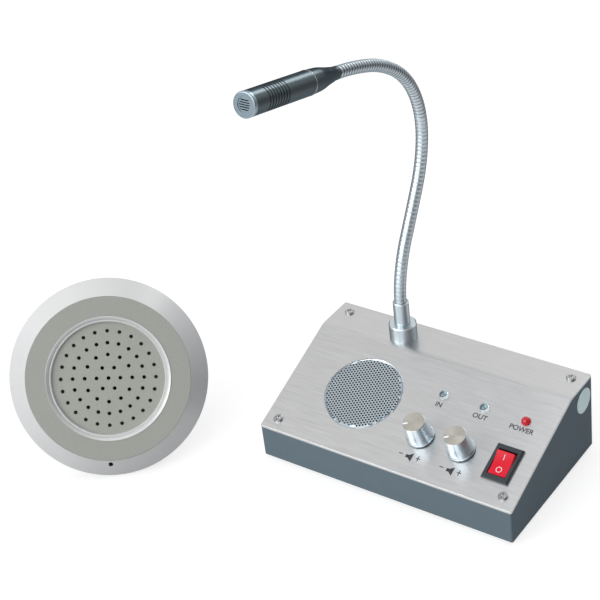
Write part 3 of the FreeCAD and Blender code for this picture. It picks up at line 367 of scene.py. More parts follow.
class Finish:
    """One material: its Principled shader, its object coordinates and the links between them."""

    def __init__(self, name, roughness=0.5, metallic=0.0, **sockets):
        self.material = bpy.data.materials.new(name)
        self.material.use_nodes = True
        self.tree = self.material.node_tree
        self.shader = self.tree.nodes["Principled BSDF"]
        self.shader.inputs["Roughness"].default_value = roughness
        self.shader.inputs["Metallic"].default_value = metallic
        for key, value in sockets.items():
            self.shader.inputs[key.replace("_", " ")].default_value = value
        self.coords = add_node(self.tree, "ShaderNodeTexCoord").outputs["Object"]

    def link(self, value, socket):
        self.tree.links.new(value, self.shader.inputs[socket])
        return self

    def local(self, frame_matrix):
        """Coordinates in a piece's own frame, in metres."""
        where, turned_by, _ = frame_matrix.decompose()
        return add_node(self.tree, "ShaderNodeMapping", {
            "Vector": self.coords, "Location": where, "Rotation": turned_by.to_euler()},
            vector_type="TEXTURE").outputs[0]

    def radius(self, frame_matrix):
        """Distance from a frame's Z axis, in metres."""
        across = vector_node(self.tree, "MULTIPLY", self.local(frame_matrix), (1, 1, 0))
        return vector_node(self.tree, "LENGTH", across, output="Value")

    def axis_and_spoke(self, frame_matrix):
        """A frame's Z axis, and the direction straight away from it."""
        axis = tuple((frame_matrix.to_3x3() @ Vector((0, 0, 1))).normalized())
        arm = vector_node(self.tree, "SUBTRACT", self.coords, tuple(frame_matrix.translation))
        ring = vector_node(self.tree, "CROSS_PRODUCT", axis, arm)
        spoke = vector_node(self.tree, "CROSS_PRODUCT", ring, axis)
        return axis, vector_node(self.tree, "NORMALIZE", spoke)

    def product(self, colour, *factors):
        """A colour times each factor."""
        for factor in factors:
            colour = mix_colours(self.tree, 1.0, colour, factor, "MULTIPLY")
        return colour

    def shade(self, colour, *factors):
        """Base colour times each factor."""
        return self.link(self.product(colour, *factors), "Base Color")

    def blend(self, factor, first, second):
        return mix_colours(self.tree, factor, first, second)

    def spread(self, value, low, high, from_low=0.0, from_high=1.0):
        return add_node(self.tree, "ShaderNodeMapRange", {
            "Value": value, "From Min": from_low, "From Max": from_high,
            "To Min": low, "To Max": high}).outputs["Result"]

    def rough(self, value, low, high):
        return self.link(self.spread(value, low, high), "Roughness")

    def bump(self, height, distance, strength=1.0):
        node = add_node(self.tree, "ShaderNodeBump", {
            "Height": height, "Distance": distance, "Strength": strength})
        return self.link(node.outputs[0], "Normal")

    def cloud(self, scale, amount):
        return use_group(self.tree, mottle_group, {
            "Vector": self.coords, "Scale": scale, "Amount": amount})

    def mottle(self, scale, amount):
        return self.cloud(scale, amount)["Shade"]

    def grain(self, scale):
        return use_group(self.tree, grain_group, {"Vector": self.coords, "Scale": scale})


# ---- Finishes ----

def powder_coat(name, colour, roughness=(0.5, 0.62)):
    finish = Finish(name, Specular_IOR_Level=0.06)
    grain = finish.grain(2200.0)
    finish.shade(colour, finish.mottle(45.0, 0.12), finish.spread(grain["Pits"], 0.93, 1.07))
    finish.rough(grain["Pits"], *roughness)
    return finish.bump(grain["Height"], 0.00004, 0.5).material


def brushed_metal(name, colour):
    """Sheet brushed along the console, with the shine spread up the slope."""
    finish = Finish(name, metallic=1.0, Anisotropic=0.6)
    brushed = use_group(finish.tree, brushed_group, {"Vector": finish.coords})
    up_slope = combine(finish.tree, {
        1: math.cos(SLOPE_ANGLE), 2: math.sin(SLOPE_ANGLE)})
    finish.link(up_slope, "Tangent")
    finish.shade(colour, finish.spread(brushed["Lines"], 0.9, 1.08, 0.3, 0.7),
                 finish.spread(brushed["Streaks"], 0.95, 1.05, 0.3, 0.7))
    finish.rough(brushed["Streaks"], 0.26, 0.4)
    return finish.bump(brushed["Lines"], 0.00001, 0.35).material


def bezel_satin(name):
    """Turned metal: rings about the unit's axis, with the shine spread along the spokes."""
    finish = Finish(name, metallic=0.22, Anisotropic=0.3)
    spun = use_group(finish.tree, spun_group, {"Vector": finish.local(UNIT), "Rings": 3200.0})
    finish.link(finish.axis_and_spoke(UNIT)[1], "Tangent")
    # A faint painted reflection streak round the axis, besides the rings.
    finish.shade((211, 212, 213), finish.spread(spun["Rings"], 0.98, 1.02, 0.3, 0.7),
                 finish.spread(spun["Painted Streaks"], 0.98, 1.02, 0.3, 0.7))
    finish.rough(spun["Rings"], 0.4, 0.46)
    return finish.bump(spun["Rings"], 0.000008, 0.3).material


def plain_metal(name, colour, roughness=(0.25, 0.4), mottle=0.12, scale=150.0, **sockets):
    finish = Finish(name, metallic=1.0, **sockets)
    cloud = finish.cloud(scale, mottle)
    finish.shade(colour, cloud["Shade"])
    return finish.rough(cloud["Mask"], *roughness).material


def drawn_metal(name, colour, run, roughness, anisotropic, groove_shade_level=None, **sockets):
    """Metal whose shine is drawn out along run: a direction, or the name of an attribute that holds it."""
    finish = Finish(name, metallic=1.0, Anisotropic=anisotropic, **sockets)
    if isinstance(run, str):
        lengthways = add_node(finish.tree, "ShaderNodeAttribute", attribute_name=run).outputs["Vector"]
    else:
        lengthways = combine(finish.tree, dict(enumerate(run)))
    finish.link(lengthways, "Tangent")
    cloud = finish.cloud(300.0, 0.06)
    factors = [cloud["Shade"]]
    # Painted shade: the colour darkens where the stored groove share is high.
    if groove_shade_level is not None:
        depth = add_node(finish.tree, "ShaderNodeAttribute", attribute_name="groove").outputs["Fac"]
        factors.append(finish.spread(depth, 1.0, groove_shade_level, 0.2, 0.95))
    finish.shade(colour, *factors)
    return finish.rough(cloud["Mask"], roughness - 0.04, roughness + 0.04).material


def mesh_metal(name):
    """Satin perforated sheet whose pressed rim is smoother, with a painted highlight in its brighter colour.
    """
    finish = Finish(name, metallic=1.0)
    radius = finish.radius(SLOPE @ place(SPEAKER_X, SPEAKER_S, 0))
    rim = finish.spread(radius, 0.0, 1.0, 0.0208, 0.0214)
    # Painted highlight: the rim's colour is brighter than the middle's.
    rim_highlight = finish.blend(rim, (186, 198, 206), (232, 240, 246))
    finish.shade(rim_highlight, finish.mottle(400.0, 0.1))
    return finish.rough(rim, 0.32, 0.2).material


def trim_satin(name):
    """Bright satin bands with the grey coat left on the flat step between them."""
    finish = Finish(name, metallic=0.3)
    radius = finish.radius(UNIT)
    inner, outer = ((0.001 * (edge + side * TRIM_BLUR) for side in (-1, 1)) for edge in TRIM_STEP)
    past = finish.spread(radius, 0.0, 1.0, *inner)
    coated = math_node(finish.tree, "MULTIPLY", past, finish.spread(radius, 1.0, 0.0, *outer))
    banded = finish.blend(coated, (206, 206, 207), (150, 152, 147))
    finish.shade(banded, finish.mottle(400.0, 0.05))
    return finish.rough(coated, 0.4, 0.55).material


def moulded_plastic(name, colour, roughness=(0.35, 0.5), grain=1800.0, depth=0.00002, **sockets):
    finish = Finish(name, **sockets)
    texture = finish.grain(grain)
    finish.shade(colour, finish.mottle(80.0, 0.1), finish.spread(texture["Pits"], 0.95, 1.05))
    finish.rough(texture["Pits"], *roughness)
    return finish.bump(texture["Height"], depth, 0.4).material


def clear_plastic(name, colour, roughness=0.06, clearness=1.0):
    finish = Finish(name, roughness=roughness, Transmission_Weight=clearness, IOR=1.49)
    finish.shade(colour, finish.mottle(300.0, 0.06))
    waves = add_node(finish.tree, "ShaderNodeTexNoise", {"Vector": finish.coords, "Scale": 500.0})
    return finish.bump(waves.outputs["Fac"], 0.00001, 0.2).material


def speckled_coat(name, colour, roughness=(0.45, 0.6), fleck=0.12, scale=1500.0, metallic=0.0):
    finish = Finish(name, metallic=metallic)
    grain = finish.grain(scale)
    finish.shade(colour, finish.mottle(30.0, 0.08),
                 finish.spread(grain["Pits"], 1 - fleck, 1 + fleck, 0.3, 0.7))
    finish.rough(grain["Pits"], *roughness)
    return finish.bump(grain["Height"], 0.00002, 0.4).material


def circuit_board_finish(name):
    """Green solder mask with paler tracks and plated pads."""
    finish = Finish(name, roughness=0.35, Coat_Weight=0.4)
    tracks = add_node(finish.tree, "ShaderNodeTexBrick", {
        "Vector": finish.coords, "Scale": 160.0, "Mortar Size": 0.03}).outputs["Fac"]
    colour = finish.blend(tracks, (20, 78, 48), (38, 110, 66))
    return finish.shade(colour).bump(tracks, 0.00003, 0.4).material


def ink(name, colour):
    finish = Finish(name, roughness=0.6)
    return finish.shade(colour, finish.mottle(900.0, 0.3)).material


def knob_frame(x):
    return SLOPE @ place(x, KNOB_S, 0)


def knob_metal(name, frame_matrix):
    """Polished sides whose shine runs up them, with painted reflection streaks round them, and a face that is
    spun in rings.
    """
    finish = Finish(name, metallic=1.0, Anisotropic=0.75)
    tree = finish.tree
    local = finish.local(frame_matrix)
    height = add_node(tree, "ShaderNodeSeparateXYZ", {0: local}).outputs["Z"]
    face = finish.spread(height, 0.0, 1.0, *(0.001 * (KNOB_FACE_HEIGHT - below) for below in (0.3, 0.1)))
    spun = use_group(tree, spun_group, {"Vector": local, "Rings": 5000.0})
    axis, spoke = finish.axis_and_spoke(frame_matrix)
    tangent = add_node(tree, "ShaderNodeMix", {0: face, 4: axis, 5: spoke}, data_type="VECTOR").outputs[1]
    finish.link(tangent, "Tangent")
    # Painted reflection streaks on the sides, lighter and darker round the knob.
    side = finish.product((218, 231, 240), finish.spread(spun["Painted Streaks"], 0.86, 1.08, 0.35, 0.65))
    top = finish.product((190, 187, 179), finish.spread(spun["Rings"], 0.92, 1.06, 0.3, 0.7))
    finish.shade(finish.blend(face, side, top)).rough(face, 0.24, 0.3)
    return finish.bump(math_node(tree, "MULTIPLY", spun["Rings"], face), 0.000006, 0.25).material


def plain_name(finish):
    """A finish's name without the number Blender adds where the name is taken."""
    return finish.name.split(".")[0]


def make_finishes():
    """Every finish, each under its own name."""
    made = (
        powder_coat("case_paint", (104, 119, 128)),
        brushed_metal("panel_steel", (202, 203, 204)),
        plain_metal("base_steel", (150, 152, 154), (0.4, 0.55), 0.25),
        plain_metal("screw_steel", (176, 178, 180), (0.14, 0.26)),
        moulded_plastic("foot_rubber", (34, 34, 36), (0.7, 0.85)),
        mesh_metal("mesh_steel"),
        plain_metal("basket_steel", (120, 122, 126), (0.4, 0.5)),
        moulded_plastic("cone_paper", (36, 35, 34), (0.8, 0.95), 900.0, 0.00008),
        moulded_plastic("magnet_iron", (60, 60, 63), (0.5, 0.7)),
        plain_metal("pot_body", (160, 160, 158), (0.35, 0.5)),
        plain_metal("pot_brass", (200, 172, 110), (0.3, 0.42)),
        knob_metal("knob_aluminium", knob_frame(COLUMNS_X[0])),
        moulded_plastic("switch_black", (42, 50, 55), (0.22, 0.34)),
        moulded_plastic("rocker_red", (210, 18, 44), (0.3, 0.42), Specular_IOR_Level=0.25),
        plain_metal("terminal_brass", (205, 180, 120)),
        clear_plastic("lamp_clear", (226, 236, 240)),
        clear_plastic("lamp_red", (232, 34, 56), 0.12, 0.45),
        moulded_plastic("holder_plastic", (40, 40, 42)),
        # The last number is how dark the painted shade in the grooves goes.
        drawn_metal("neck_chrome", (206, 217, 224), "run", 0.36, 0.72, 0.25,
                    Specular_Tint=(0.05, 0.07, 0.08, 1)),
        drawn_metal("collar_nickel", (214, 224, 230), (-0.1, 0.12, 1), 0.32, 0.75,
                    Specular_Tint=(0.05, 0.08, 0.1, 1)),
        plain_metal("mic_chrome", (98, 107, 110), (0.22, 0.3), 0.1, 300.0,
                    Specular_Tint=(0.5, 0.55, 0.6, 1)),
        plain_metal("cap_satin", (156, 172, 182), (0.3, 0.38), 0.05, 300.0),
        moulded_plastic("capsule_can", (30, 30, 32), (0.8, 0.95), 900.0, 0.00006),
        circuit_board_finish("board_green"),
        moulded_plastic("chip_black", (30, 30, 32)),
        plain_metal("sink_aluminium", (70, 72, 76), (0.4, 0.5)),
        moulded_plastic("capacitor_sleeve", (30, 36, 66), (0.25, 0.35)),
        moulded_plastic("jack_black", (28, 28, 30), (0.3, 0.42)),
        speckled_coat("label_paper", (226, 250, 255), (0.4, 0.5), 0.03, 1500.0, 0.08),
        bezel_satin("bezel_satin"),
        speckled_coat("face_grey", (158, 160, 154), (0.5, 0.62), 0.06),
        trim_satin("trim_polished"),
        speckled_coat("grille_grey", (161, 164, 157), (0.45, 0.6), 0.12, 2200.0),
        moulded_plastic("cover_plastic", (70, 72, 74)),
        moulded_plastic("pad_foam", (52, 52, 54), (0.9, 1.0), 700.0, 0.0002),
        moulded_plastic("gland_rubber", (32, 32, 34), (0.6, 0.75)),
        knob_metal("right_knob_aluminium", knob_frame(COLUMNS_X[1])),
        plain_metal("cup_bright", (140, 160, 168), (0.35, 0.5)),
        moulded_plastic("die_teal", (66, 92, 102), (0.4, 0.5)),
        moulded_plastic("die_red", (214, 40, 52), (0.3, 0.4)),
        ink("legend_ink", (44, 48, 55)),
        ink("mark_white", (236, 232, 230)),
        ink("pointer_white", (244, 246, 247)),
    )
    return {plain_name(finish): finish for finish in made}


finishes = make_finishes()
OWN_FINISH = {"right_knob": "right_knob_aluminium", "neck_socket": "collar_nickel",
              "neck_ferrule": "collar_nickel", "mic_cap": "cap_satin", "mic_grille": "cap_satin"}


def dress_nodes():
    """Give every carried-over solid the finish of its slot, or its own."""
    for name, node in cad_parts.items():
        for index, old in enumerate(node.material_slots):
            wanted = OWN_FINISH.get(name, plain_name(old.material))
            node.material_slots[index].material = finishes[wanted]


dress_nodes()


# ---- Building pieces ----

def finish_mesh(name, mesh, frame_matrix, finish, sharp):
    """Put a mesh that is in millimetres in its place, with outward faces and smooth shading."""
    mesh.transform(frame_matrix)
    shape = bmesh.new()
    shape.from_mesh(mesh)
    bmesh.ops.remove_doubles(shape, verts=shape.verts, dist=1e-7)
    bmesh.ops.recalc_face_normals(shape, faces=shape.faces)
    shape.to_mesh(mesh)
    shape.free()
    mesh.shade_smooth()
    mesh.set_sharp_from_angle(angle=math.radians(sharp))
    mesh.materials.clear()
    mesh.materials.append(finishes[finish])
    return add_object(name, mesh)


def add_piece(name, mesh, frame_matrix, finish, body, node=None, sharp=35.0):
    """A finished piece that follows one body, in place of a node where it is given one."""
    piece = finish_mesh(name, mesh, frame_matrix, finish, sharp)
    if node is not None:
        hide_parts(node)
    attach(piece, body)


def to_mesh(shape, name):
    mesh = bpy.data.meshes.new(name)
    shape.to_mesh(mesh)
    shape.free()
    return mesh


def take_mesh(carrier):
    """The mesh that an object comes to, and away with the object."""
    graph = bpy.context.evaluated_depsgraph_get()
    mesh = bpy.data.meshes.new_from_object(carrier.evaluated_get(graph))
    bpy.data.objects.remove(carrier)
    return mesh


def join_meshes(name, meshes):
    shape = bmesh.new()
    for mesh in meshes:
        shape.from_mesh(mesh)
    return to_mesh(shape, name)


def turned_mesh(name, section, steps=64):
    """A surface of revolution about Z from a closed or pole-to-pole section of (radius, z)."""
    verts, rows = [], []
    for radius, z in section:
        if radius < 1e-6:
            rows.append([len(verts)])
            verts.append((0, 0, z))
        else:
            rows.append(list(range(len(verts), len(verts) + steps)))
            verts += [(radius * math.cos(2 * math.pi * step / steps),
                       radius * math.sin(2 * math.pi * step / steps), z) for step in range(steps)]
    faces = []
    for low, high in zip(rows, rows[1:]):
        for step in range(steps):
            after = (step + 1) % steps
            corners = [low[step % len(low)], low[after % len(low)],
                       high[after % len(high)], high[step % len(high)]]
            corners = list(dict.fromkeys(corners))
            if len(corners) > 2:
                faces.append(corners)
    mesh = bpy.data.meshes.new(name)
    mesh.from_pydata(verts, [], faces)
    return mesh


def ring_mesh(outer, inner, low, high, steps=32):
    section = [(outer, low), (outer, high), (inner, high), (inner, low), (outer, low)]
    return turned_mesh("ring", section, steps)


# ---- Geometry Nodes helpers ----

def start_geometry(name, inputs):
    return start_tree("GeometryNodeTree", name, [("Geometry", "Geometry", None)] + inputs,
                      [("Geometry", "Geometry")])


def end_geometry(tree, given, out, geometry):
    """Make the result real, give it its finish and hand it out."""
    real = geometry_node(tree, "RealizeInstances", {0: geometry})
    painted = geometry_node(tree, "SetMaterial", {0: real, "Material": given["Finish"]})
    tree.links.new(painted, out[0])


def mark_points(tree, geometry, name, value, data_type):
    return geometry_node(tree, "StoreNamedAttribute", {
        "Geometry": geometry, "Name": name, "Value": value}, data_type=data_type)


def run_geometry(source, tree, names, values):
    """Evaluate a tree on a mesh and return the result as a plain mesh."""
    carrier = add_object("carrier", source)
    modifier = carrier.modifiers.new("nodes", "NODES")
    modifier.node_group = tree
    for label, value in values.items():
        modifier[names[label]] = value
    return take_mesh(carrier)


# ---- Gooseneck ----

def neck_path():
    """The neck's arcs in console millimetres: start, heading, bend and length, then its end alone."""
    arcs = []
    point = Vector((NECK_X, NECK_Y, TOP_HEIGHT + FERRULE_TOP))
    heading = 90.0
    lengths = [LEAD_LENGTH] + [SEGMENT_LENGTH] * len(NECK_TURNS)
    for bend, length in zip((LEAD_TURN, *NECK_TURNS), lengths):
        arcs.append((point.copy(), heading, bend, length))
        point = arc_point(arcs[-1], 1.0)
        heading += bend
    arcs.append((point, heading, 0.0, 0.0))
    return arcs


def along(heading):
    angle = math.radians(heading)
    return Vector((0, math.cos(angle), math.sin(angle)))


def arc_point(arc, share):
    point, heading, bend, length = arc
    radius = length / math.radians(bend)
    centre = point + along(heading + 90) * radius
    return centre + Matrix.Rotation(math.radians(bend) * share, 3, "X") @ (point - centre)


def make_rib_tree():
    """Close-wound wire seen from outside: a tube along a path whose radius follows the turns."""
    tree, given, out, names = start_geometry("gooseneck_ribs", [
        ("Radius", "Float", 3.35), ("Groove Depth", "Float", 0.2), ("Groove Shade", "Float", 1.0),
        ("Ribs", "Int", 12), ("Steps per Rib", "Int", 8), ("Sides", "Int", 28),
        ("Finish", "Material", None)])
    calc = partial(math_node, tree)
    curve = geometry_node(tree, "MeshToCurve", {"Mesh": given["Geometry"]})
    steps = calc("MULTIPLY_ADD", given["Ribs"], given["Steps per Rib"], 1.0)
    curve = geometry_node(tree, "ResampleCurve", {"Curve": curve, "Count": steps})
    factor = add_node(tree, "GeometryNodeSplineParameter").outputs["Factor"]
    share = calc("FRACT", calc("MULTIPLY", factor, given["Ribs"]))
    bow = calc("MULTIPLY", share, calc("SUBTRACT", 1.0, share))
    groove = calc("SUBTRACT", 1.0, calc("MULTIPLY", bow, 4.0))
    depth = calc("DIVIDE", given["Groove Depth"], given["Radius"])
    scale = calc("SUBTRACT", 1.0, calc("MULTIPLY", depth, groove))
    ring = geometry_node(tree, "CurvePrimitiveCircle", {
        "Resolution": given["Sides"], "Radius": given["Radius"]})
    tangent = geometry_node(tree, "InputTangent")
    marked = mark_points(tree, curve, "run", tangent, "FLOAT_VECTOR")
    # Painted shade: the groove share, scaled, is stored to darken the colour in the grooves.
    painted_groove_shade = calc("MULTIPLY", groove, given["Groove Shade"])
    marked = mark_points(tree, marked, "groove", painted_groove_shade, "FLOAT")
    tube = geometry_node(tree, "CurveToMesh", {
        "Curve": marked, "Profile Curve": ring, "Scale": scale, "Fill Caps": True})
    end_geometry(tree, given, out, tube)
    return tree, names


# Depth of each piece's grooves, and how far painted shade darkens them.
# The turns lie close where the neck is straight, and open where it bends.
GROOVES = ((0.13, 0.4), (0.13, 0.4), (0.14, 0.4), (0.16, 0.45),
           (0.24, 0.8), (0.34, 1.1), (0.36, 1.1), (0.36, 1.1))
# A piece runs from the middle of one segment to the middle of the next, across the joint between them.
# This one is two stiff halves instead, which meet at a ball.
SPLIT_PIECE, BALL_RADIUS = 5, 3.05
HALF_STEPS, HALF_RIBS = 24, 6
FOOT_DEPTH, FOOT_STEPS, FOOT_RIBS = 10, 8, 8
TAIL_LENGTH, TAIL_STEPS, TAIL_RIBS = 4.8, 4, 2
NECK_SIDES = 32


def neck_ball_mesh(centre, heading):
    """The ball between two stiff halves, marked with the direction of the neck there."""
    rows = NECK_SIDES // 2
    angles = [math.pi * row / rows for row in range(rows + 1)]
    section = [(BALL_RADIUS * math.sin(angle), -BALL_RADIUS * math.cos(angle)) for angle in angles]
    ball = turned_mesh("neck_ball", section, NECK_SIDES)
    ball.transform(Matrix.Translation(centre))
    run = ball.attributes.new("run", "FLOAT_VECTOR", "POINT")
    run.data.foreach_set("vector", list(along(heading)) * len(ball.vertices))
    return ball


def ribbed_mesh(builder, points, ribs, groove):
    """A ribbed tube along points, with grooves as deep as groove says and darkened by painted shade."""
    tree, names = builder
    line = bpy.data.meshes.new("neck_line")
    line.from_pydata(points, [(i, i + 1) for i in range(len(points) - 1)], [])
    return run_geometry(line, tree, names, {
        "Radius": NECK_RADIUS, "Groove Depth": groove[0], "Groove Shade": groove[1], "Ribs": ribs,
        "Steps per Rib": 10, "Sides": NECK_SIDES, "Finish": finishes["neck_chrome"]})


def finish_neck_piece(name, mesh):
    piece = finish_mesh(name, mesh, CONSOLE, "neck_chrome", 80.0)
    return piece


def neck_line(arcs, number):
    """The points of one piece, and how many of the wire's turns it shows."""
    lead, bends, end = arcs[0], arcs[1:-1], arcs[-1]
    if number == 0:
        foot = lead[0] - Vector((0, 0, FOOT_DEPTH))
        points = [foot + Vector((0, 0, FOOT_DEPTH * step / FOOT_STEPS)) for step in range(FOOT_STEPS)]
        points += [arc_point(lead, step / FOOT_STEPS) for step in range(FOOT_STEPS)]
        ribs = FOOT_RIBS
    else:
        points = [arc_point(bends[number - 1], 0.5 + 0.5 * step / HALF_STEPS) for step in range(HALF_STEPS)]
        ribs = HALF_RIBS
    if number < len(bends):
        points += [arc_point(bends[number], 0.5 * step / HALF_STEPS) for step in range(HALF_STEPS + 1)]
        return points, ribs + HALF_RIBS
    points += [end[0] + along(end[1]) * (TAIL_LENGTH * step / TAIL_STEPS) for step in range(TAIL_STEPS + 1)]
    return points, ribs + TAIL_RIBS


def make_gooseneck():
    arcs = neck_path()
    builder = make_rib_tree()
    bodies = ["console"] + [f"neck_{number}" for number in range(2, 9)] + ["microphone"]
    for number, groove in enumerate(GROOVES):
        name, node = f"gooseneck_{number + 1}", f"neck_segment_{number + 1}"
        points, ribs = neck_line(arcs, number)
        if number + 1 == SPLIT_PIECE:
            joint, heading = arcs[number + 1][:2]
            first = join_meshes(name, [ribbed_mesh(builder, points[:HALF_STEPS + 1], HALF_RIBS, groove),
                                       neck_ball_mesh(joint, heading)])
            second = ribbed_mesh(builder, points[HALF_STEPS:], HALF_RIBS, groove)
            lower = finish_neck_piece(name + "_lower", first)
            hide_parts(node)
            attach(lower, bodies[number])
            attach(finish_neck_piece(name + "_upper", second), bodies[number + 1])
        else:
            piece = finish_neck_piece(name, ribbed_mesh(builder, points, ribs, groove))
            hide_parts(node)
            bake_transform(piece)


make_gooseneck()


# ---- Speaker mesh ----

def make_perforation_tree():
    """A disc with staggered round holes, given thickness and bent down round its edge."""
    tree, given, out, names = start_geometry("perforated_disc", [
        ("Flat Radius", "Float", 20.6), ("Edge Round", "Float", 1.3), ("Skirt", "Float", 0.2),
        ("Hole Radius", "Float", 0.56), ("Pitch", "Float", 1.69), ("Last Hole", "Float", 21.0),
        ("Thickness", "Float", 0.5), ("Rows", "Int", 35), ("Finish", "Material", None)])
    calc = partial(math_node, tree)
    span = calc("MULTIPLY", calc("SUBTRACT", given["Rows"], 1.0), given["Pitch"])
    height = calc("MULTIPLY", span, math.sqrt(3) / 2)
    grid = add_node(tree, "GeometryNodeMeshGrid", {
        "Size X": span, "Size Y": height, "Vertices X": given["Rows"], "Vertices Y": given["Rows"]})
    place_now = geometry_node(tree, "InputPosition")
    parts = add_node(tree, "ShaderNodeSeparateXYZ", {0: place_now}).outputs
    row_height = calc("MULTIPLY", given["Pitch"], math.sqrt(3) / 2)
    row = calc("ROUND", calc("DIVIDE", parts["Y"], row_height))
    odd = calc("ABSOLUTE", calc("MODULO", row, 2.0))
    shift = calc("MULTIPLY", calc("MULTIPLY", odd, 0.5), given["Pitch"])
    offset = combine(tree, {0: shift})
    shifted = geometry_node(tree, "SetPosition", {
        "Geometry": grid.outputs["Mesh"], "Offset": offset})
    distance = vector_node(tree, "LENGTH", place_now, output="Value")
    outside = add_node(tree, "FunctionNodeCompare", {0: distance, 1: given["Last Hole"]},
                       data_type="FLOAT", operation="GREATER_THAN").outputs[0]
    kept = geometry_node(tree, "DeleteGeometry", {
        "Geometry": shifted, "Selection": outside})
    hole = geometry_node(tree, "CurvePrimitiveCircle", {
        "Resolution": 10, "Radius": given["Hole Radius"]})
    points = geometry_node(tree, "MeshToPoints", {"Mesh": kept})
    holes = geometry_node(tree, "InstanceOnPoints", {"Points": points, "Instance": hole})
    holes = geometry_node(tree, "RealizeInstances", {0: holes})
    quarter = calc("MULTIPLY", given["Edge Round"], math.pi / 2)
    bent_out = calc("ADD", given["Flat Radius"], quarter)
    disc_radius = calc("ADD", bent_out, given["Skirt"])
    joined = add_node(tree, "GeometryNodeJoinGeometry")
    tree.links.new(holes, joined.inputs[0])
    edge = geometry_node(tree, "CurvePrimitiveCircle", {
        "Resolution": 120, "Radius": disc_radius})
    tree.links.new(edge, joined.inputs[0])
    sheet = geometry_node(tree, "FillCurve", {"Curve": joined.outputs[0]})
    drop = calc("MULTIPLY", given["Thickness"], -1.0)
    down = combine(tree, {2: drop})
    pushed = geometry_node(tree, "ExtrudeMesh", {
        "Mesh": sheet, "Offset": down, "Offset Scale": 1.0, "Individual": False})
    both = add_node(tree, "GeometryNodeJoinGeometry")
    tree.links.new(pushed, both.inputs[0])
    tree.links.new(sheet, both.inputs[0])
    merged = geometry_node(tree, "MergeByDistance", {
        "Geometry": both.outputs[0], "Distance": 0.001})
    end_geometry(tree, given, out, bend_edge_down(tree, given, merged, bent_out))
    return tree, names


def bend_edge_down(tree, given, sheet, bent_out):
    """Wrap what lies beyond the flat radius round a quarter turn, and what is left straight down."""
    calc = partial(math_node, tree)
    here = geometry_node(tree, "InputPosition")
    flat_part = vector_node(tree, "MULTIPLY", here, (1, 1, 0))
    radius = vector_node(tree, "LENGTH", flat_part, output="Value")
    depth = add_node(tree, "ShaderNodeSeparateXYZ", {0: here}).outputs["Z"]
    past = calc("MAXIMUM", calc("SUBTRACT", radius, given["Flat Radius"]), 0.0)
    angle = calc("MINIMUM", calc("DIVIDE", past, given["Edge Round"]), math.pi / 2)
    arm = calc("ADD", given["Edge Round"], depth)
    reach = calc("MULTIPLY", arm, calc("SINE", angle))
    inside = calc("MINIMUM", radius, given["Flat Radius"])
    new_radius = calc("ADD", inside, reach)
    rise = calc("MULTIPLY", arm, calc("COSINE", angle))
    straight = calc("MAXIMUM", calc("SUBTRACT", radius, bent_out), 0.0)
    height = calc("SUBTRACT", calc("SUBTRACT", rise, given["Edge Round"]), straight)
    unit = vector_node(tree, "NORMALIZE", flat_part)
    spread = add_node(tree, "ShaderNodeVectorMath", {
        0: unit, "Scale": new_radius}, operation="SCALE").outputs[0]
    up = combine(tree, {2: height})
    target = vector_node(tree, "ADD", spread, up)
    return geometry_node(tree, "SetPosition", {"Geometry": sheet, "Position": target})


def make_speaker_mesh():
    """The pressed cap: a perforated middle, a smooth rounded edge and a flange under the panel."""
    tree, names = make_perforation_tree()
    seed = bpy.data.meshes.new("seed")
    seed.from_pydata([(0, 0, 0)], [], [])
    cap = run_geometry(seed, tree, names, {"Finish": finishes["mesh_steel"]})
    cap.transform(place(0, 0, 0.3) @ turn(88.3, "Z"))
    flange = ring_mesh(25.3, 21.2, -2.0, -1.2, 96)
    add_piece("speaker_mesh_cap", join_meshes("speaker_mesh_cap", [cap, flange]),
              SLOPE @ place(SPEAKER_X, SPEAKER_S, 0), "mesh_steel", "console",
              "speaker_mesh", 40.0)


make_speaker_mesh()


# ---- Legends ----

LEGENDS = (("IN", 12.0, 44.4), ("OUT", 36.4, 44.9), ("POWER", 60.5, 45.3))
LETTER_HEIGHT, CAPITALS_SHARE = 2.9, 0.73
SIGN_S, MINUS_X, PLUS_X = 11.2, -5.35, 5.06
PRINT_THICKNESS, PRINT_SUNK = 0.03, 0.005


def text_mesh(words, x, y):
    curve = bpy.data.curves.new("words", "FONT")
    curve.body = words
    curve.size = LETTER_HEIGHT / CAPITALS_SHARE
    curve.align_x, curve.align_y = "CENTER", "CENTER"
    curve.extrude = PRINT_THICKNESS / 2
    curve.offset = 0.07
    mesh = take_mesh(add_object("words", curve))
    mesh.transform(place(x, y, PRINT_THICKNESS / 2 - PRINT_SUNK))
    return mesh


def push_out(shape, outline, vector):
    """Draw a flat outline into a bmesh and carry it along a vector."""
    face = shape.faces.new([shape.verts.new(point) for point in outline])
    grown = bmesh.ops.extrude_face_region(shape, geom=[face])["geom"]
    corners = [part for part in grown if isinstance(part, bmesh.types.BMVert)]
    bmesh.ops.translate(shape, vec=vector, verts=corners)


def plate_mesh(outlines, thickness=PRINT_THICKNESS):
    """Flat shapes of even thickness, each from its outline of (x, y)."""
    shape = bmesh.new()
    for outline in outlines:
        push_out(shape, [(x, y, -PRINT_SUNK) for x, y in outline], (0, 0, thickness))
    return to_mesh(shape, "plate")


def bar(x, y, width, height):
    return [(x - width / 2, y - height / 2), (x + width / 2, y - height / 2),
            (x + width / 2, y + height / 2), (x - width / 2, y + height / 2)]


